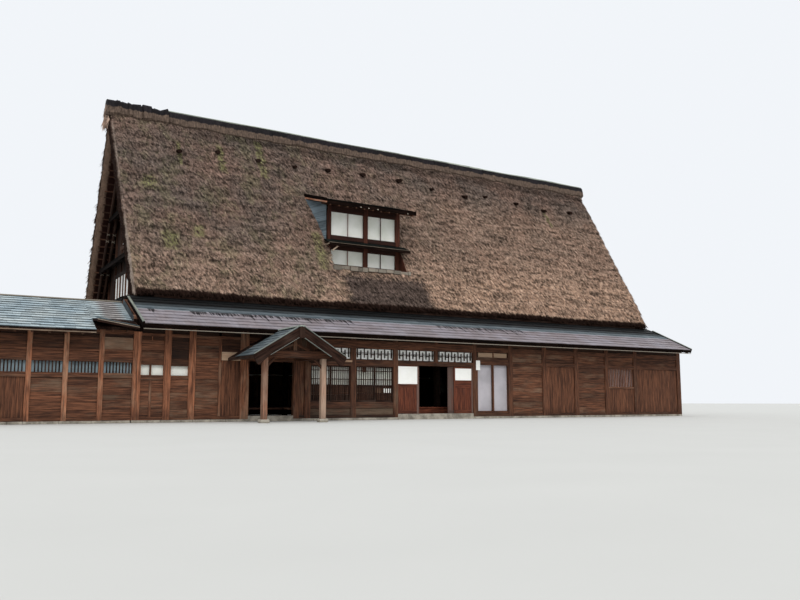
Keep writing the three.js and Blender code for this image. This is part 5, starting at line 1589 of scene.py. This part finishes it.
def buildRidge():
    chance = random.Random(121)
    profile, half, middle = ridge["profile"], ridge["half"], house["middle"]
    outline = profile + [(-y, z) for y, z in reversed(profile[1:])]
    corners, faces, tones = [], [], []
    start, size = -half, len(outline)
    while start < half - 0.2:
        worn = start < ridge["worn"]
        step = chance.uniform(*ridge["sheets"]) * (0.28 if worn else 1.0)
        first = len(corners)
        for x in (start, min(start + step + 0.12, half)):
            lift = chance.uniform(-0.05, 0.12) if worn else chance.uniform(0.0, 0.022)
            droops = [chance.uniform(-0.06, 0.06) for _ in range(2)]
            for y, z in outline:
                away = Vector((y, z - 12.1)).normalized() * lift
                droop = droops[y > 0] if z < ridge["foot"] else 0.0
                corners.append((x, middle + y + away.x, z + away.y + droop))
        tones += [chance.random()] * (2 * size)
        for j in range(size):
            later = first + (j + 1) % size
            faces.append((first + j, first + size + j, size + later, later))
        faces += [[first + j for j in range(size)], [first + size + j for j in reversed(range(size))]]
        start += step
    cap = newObject("ridge_bark_sheets", newMesh("ridge_bark_sheets", corners, (), faces, tone=tones))
    cap.data.materials.append(roofs["bark"])
    keep(cap, ["ridge_cap"])

    poles, needles = [], []
    for y, z, width in ridge["poles"]:
        x, height = ridge["worn"], z
        while x < half - 0.1:
            reach = min(x + chance.uniform(1.0, 2.2), half - 0.05)
            later = z + chance.uniform(-0.02, 0.02)
            poles.append((Vector((x, middle + y, height)), Vector((reach, middle + y, later)), width, width))
            x, height = reach, later
    growBars("ridge_poles", poles, roofs["verge"], upwards, True, Seed=31, Light=0.9, Dark=0.3, Age=0.4)
    for x, z in ridge["poleEnds"]:
        y = thatch["eave"][1] + (z - thatch["eave"][2]) / pitchTangent
        for place in (placeOn(1), placeOn(-1)):
            needles.append((Vector((x, place(y + 0.5), z + 0.12)), Vector((x, place(y - 0.2), z - 0.04)), 0.19, 0.16))
    growBars("ridge_needles", needles, wood["dark"], upwards, True, Seed=32, Dark=0.0, Light=0.3, Uneven=0.2)
    # tufts of straw at the ridge's ends
    for word, side in (("left", -1), ("right", 1)):
        corners = [(side * (12.68 + x), middle + y, 11.75 + z) for x, y, z in ridge["tuft"]]
        tuft = newMesh(f"tuft_{word}", corners + [(side * 12.74, middle - 0.03, 12.45)], (),
                       [(0, 1, 4), (1, 2, 4), (2, 3, 4), (3, 0, 4), (3, 2, 1, 0)])
        keep(grown(f"ridge_tuft_{word}", trees["straws"], {
            "Density": 1300.0, "Length": 0.3, "Width": 0.03, "Flow": (side * 0.1, 0.0, -1.0),
            "Outward": (float(side), -0.5, 0.3), "Spread": 0.25, "Seed": 40 + side, "Material": roofs["straw"]}, tuft))
    print("ridge built")


# Nearly black bark; straw shows along its ragged foot
def barkFinish():
    tree = Finish("ridgeBark")
    tone = tree.attribute("tone")
    z = tree.splitXYZ(tree.place)[2]
    streaks = tree.noise(tree.place, 2.0, 4.0, 0.65, (8.0, 2.0, 2.0))
    ragged = tree.noise(tree.place, 1.5, 4.0, 0.7, (2.5, 1.0, 0.5))
    straw = tree.noise(tree.place, 1.0, 5.0, 0.75, (14.0, 7.0, 5.0))
    colour = tree.mix(tree.above(streaks, 0.3, 0.7), tint("0e0b10"), tint("242022"))
    foot = tree.below(z + (ragged - 0.5) * 0.3 + tone * 0.05, ridge["bark"] - 0.02, ridge["bark"] + 0.03)
    straw = tree.mix(tree.above(straw, 0.3, 0.7), tint("372d27"), tint("6f5e52"))
    return tree.close(tree.mix(foot, tree.shade(colour, 0.6 + tone * 0.7), straw), 0.85, streaks, 0.01, 0.15)


def strawFinish():
    tree = Finish("freshStraw")
    tone = tree.attribute("tone")
    colour = tree.mix(tone, tint("6b564b"), tint("c4a895"))
    return tree.close(tree.shade(colour, 0.6 + tone * 0.6), 0.9)


# Camera and light

view = {
    "eye": (-18.54, -25.854, 0.65),
    "turn": math.radians(31.14),   # to the right of the house's depth
    "tilt": math.radians(7.27),
    "lens": 36.0,
    "film": 36.0,
    "farthest": 500.0,
    "sky": (0.93, 0.96, 1.0, 1.0),
    "skyStrength": 0.95,
    "sun": (1.0, 0.97, 0.93),
    "sunStrength": 1.6,
    "sunWidth": math.radians(40),
    "sunWay": (0.25, 0.75, -0.9),
    "floorReach": 300.0,
}


def addTo(scene, name, data, way, up="Y"):
    made = bpy.data.objects.new(name, data)
    scene.collection.objects.link(made)
    made.rotation_euler = Vector(way).to_track_quat("-Z", up).to_euler()
    return made


def buildStage():
    scene = bpy.context.scene
    camera = bpy.data.cameras.new("camera")
    camera.lens, camera.sensor_width, camera.clip_end = view["lens"], view["film"], view["farthest"]
    camera.sensor_fit = "HORIZONTAL"
    turn, tilt = view["turn"], view["tilt"]
    holder = addTo(scene, "camera", camera,
                   (math.sin(turn) * math.cos(tilt), math.cos(turn) * math.cos(tilt), math.sin(tilt)))
    holder.location = view["eye"]
    scene.camera = holder

    world = bpy.data.worlds.new("softSky")
    world.use_nodes = True
    background = world.node_tree.nodes["Background"].inputs
    background["Color"].default_value = view["sky"]
    background["Strength"].default_value = view["skyStrength"]
    scene.world = world
    scene.view_settings.view_transform = "Standard"
    sun = bpy.data.lights.new("softSun", "SUN")
    sun.energy, sun.angle, sun.color = view["sunStrength"], view["sunWidth"], view["sun"]
    addTo(scene, "softSun", sun, view["sunWay"])

    reach = view["floorReach"]
    corners = [(-reach, -reach, 0), (reach, -reach, 0), (reach, reach, 0), (-reach, reach, 0)]
    floor = newObject("floor", newMesh("floor", corners, (), [(0, 1, 2, 3)]))
    tree = Finish("paleFloor")
    grit = tree.noise(tree.place, 0.6, 3.0)
    floor.data.materials.append(tree.close(tree.mix(grit, tint("c9c9c5"), tint("c3c3bf")), 0.9))


buildStage()
trees = {"bars": barTree(False), "poles": barTree(True), "courses": courseTree(), "straws": strawTree()}
wood = {key: woodFinish(f"{key}Wood", look) for key, look in woods.items()}
papers = {
    "window": paperFinish("windowPaper", "f1f1ea", "dddfd3"),
    "sheet": paperFinish("whiteSheets", "fcfcf8", "f2f2ec"),
    "annex": paperFinish("annexPaper", "a8bdc5", "90a4ad"),
    "panel": paperFinish("panelPaper", "b9b5ba", "a5a1a6"),
}
stone = stoneFinish("footingStone", "a39c8f", "6d675d")
roofs = {
    "pent": roofBoardFinish("pentRoofBoards", {
        **tints(cool="6b777e", grey="798388", warm="857c7f", pale="928d94", dark="161618"), "edge": 0.48,
        "drips": [(-12.3, -11.9), (-10.9, -4.7), (-1.0, 3.4)], "steps": 0.16, "roughness": 0.6}),
    "annex": roofBoardFinish("annexRoofBoards", {
        **tints(cool="8d9ca3", grey="a2abac", pink="857c79"), "pinkRange": (-13.7, -12.8), "steps": 0.45,
        "buttShadeDepth": 0.75, "roughness": 0.55}),
    "hood": roofBoardFinish("hoodRoofBoards", {**tints(cool="5f7076", grey="77848a"), "roughness": 0.6}),
    "porch": roofBoardFinish("porchRoofBoards", {**tints(cool="434d51", grey="646d71"), "roughness": 0.6}),
    "dark": roofBoardFinish("smallRoofBoards", {
        **tints(cool="0f1312", grey="1c201e"), "gloss": 0.03, "roughness": 0.8}),
    "verge": woodFinish("vergeBoards", tints(light="aeb3a6", dark="757b70", grey="9aa19a")),
    "cheek": woodFinish("cheekBoards", tints(light="6e7a80", dark="3c454b", grey="5f6b72")),
    "bark": barkFinish(),
    "straw": strawFinish(),
}
buildThatch(thatchFinish())
buildFrontWall()
buildBackWall()
buildEndWall("right", 1)
buildEndWall("left", -1)
buildLeaves()
buildPents()
buildAnnexWalls()
buildAnnexRoof()
for word, side in (("left", -1), ("right", 1)):
    buildGable(word, side)
buildDormer()
buildPorch()
buildFooting()
buildRidge()
# nearly black wood for the undersides of the dormer's and the gable's small roofs, as painted shade
paintedShade = {**tints(light="1e1613", dark="0b0807", grey="1c1a18"), "gloss": 0.1}
dress(papers["window"], *[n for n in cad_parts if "paper" in n])
dress(papers["annex"], "annex_window_paper")
dress(papers["panel"], "window_paper_right")
dress(stone, "entrance_sill", "porch_door_sill")
# dark wood on the slabs of the small roofs; on the pent roofs it paints the shade gap under the boards
dress(woodFinish("roofUnderside", woods["dark"], "y"), "front_pent_roof", "back_pent_roof", "porch_roof", "annex_roof",
      "annex_hood")
dress(woodFinish("sootyUnderside", paintedShade, "y"), "dormer_roof", "dormer_middle_roof",
      *[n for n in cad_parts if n.startswith("gable_") and "roof" in n])
dress(woodFinish("floorBoards", woods["board"], "x"), "ground_floor", "attic_floor_lower", "attic_floor_upper",
      "annex_floor")
# the inner frame is dressed dark as painted shade in the house's interior
dress(woodFinish("frameTimbers", woods["dark"], "x"), "main_frame_front", "main_frame_back")

print("farmhouse: finished")
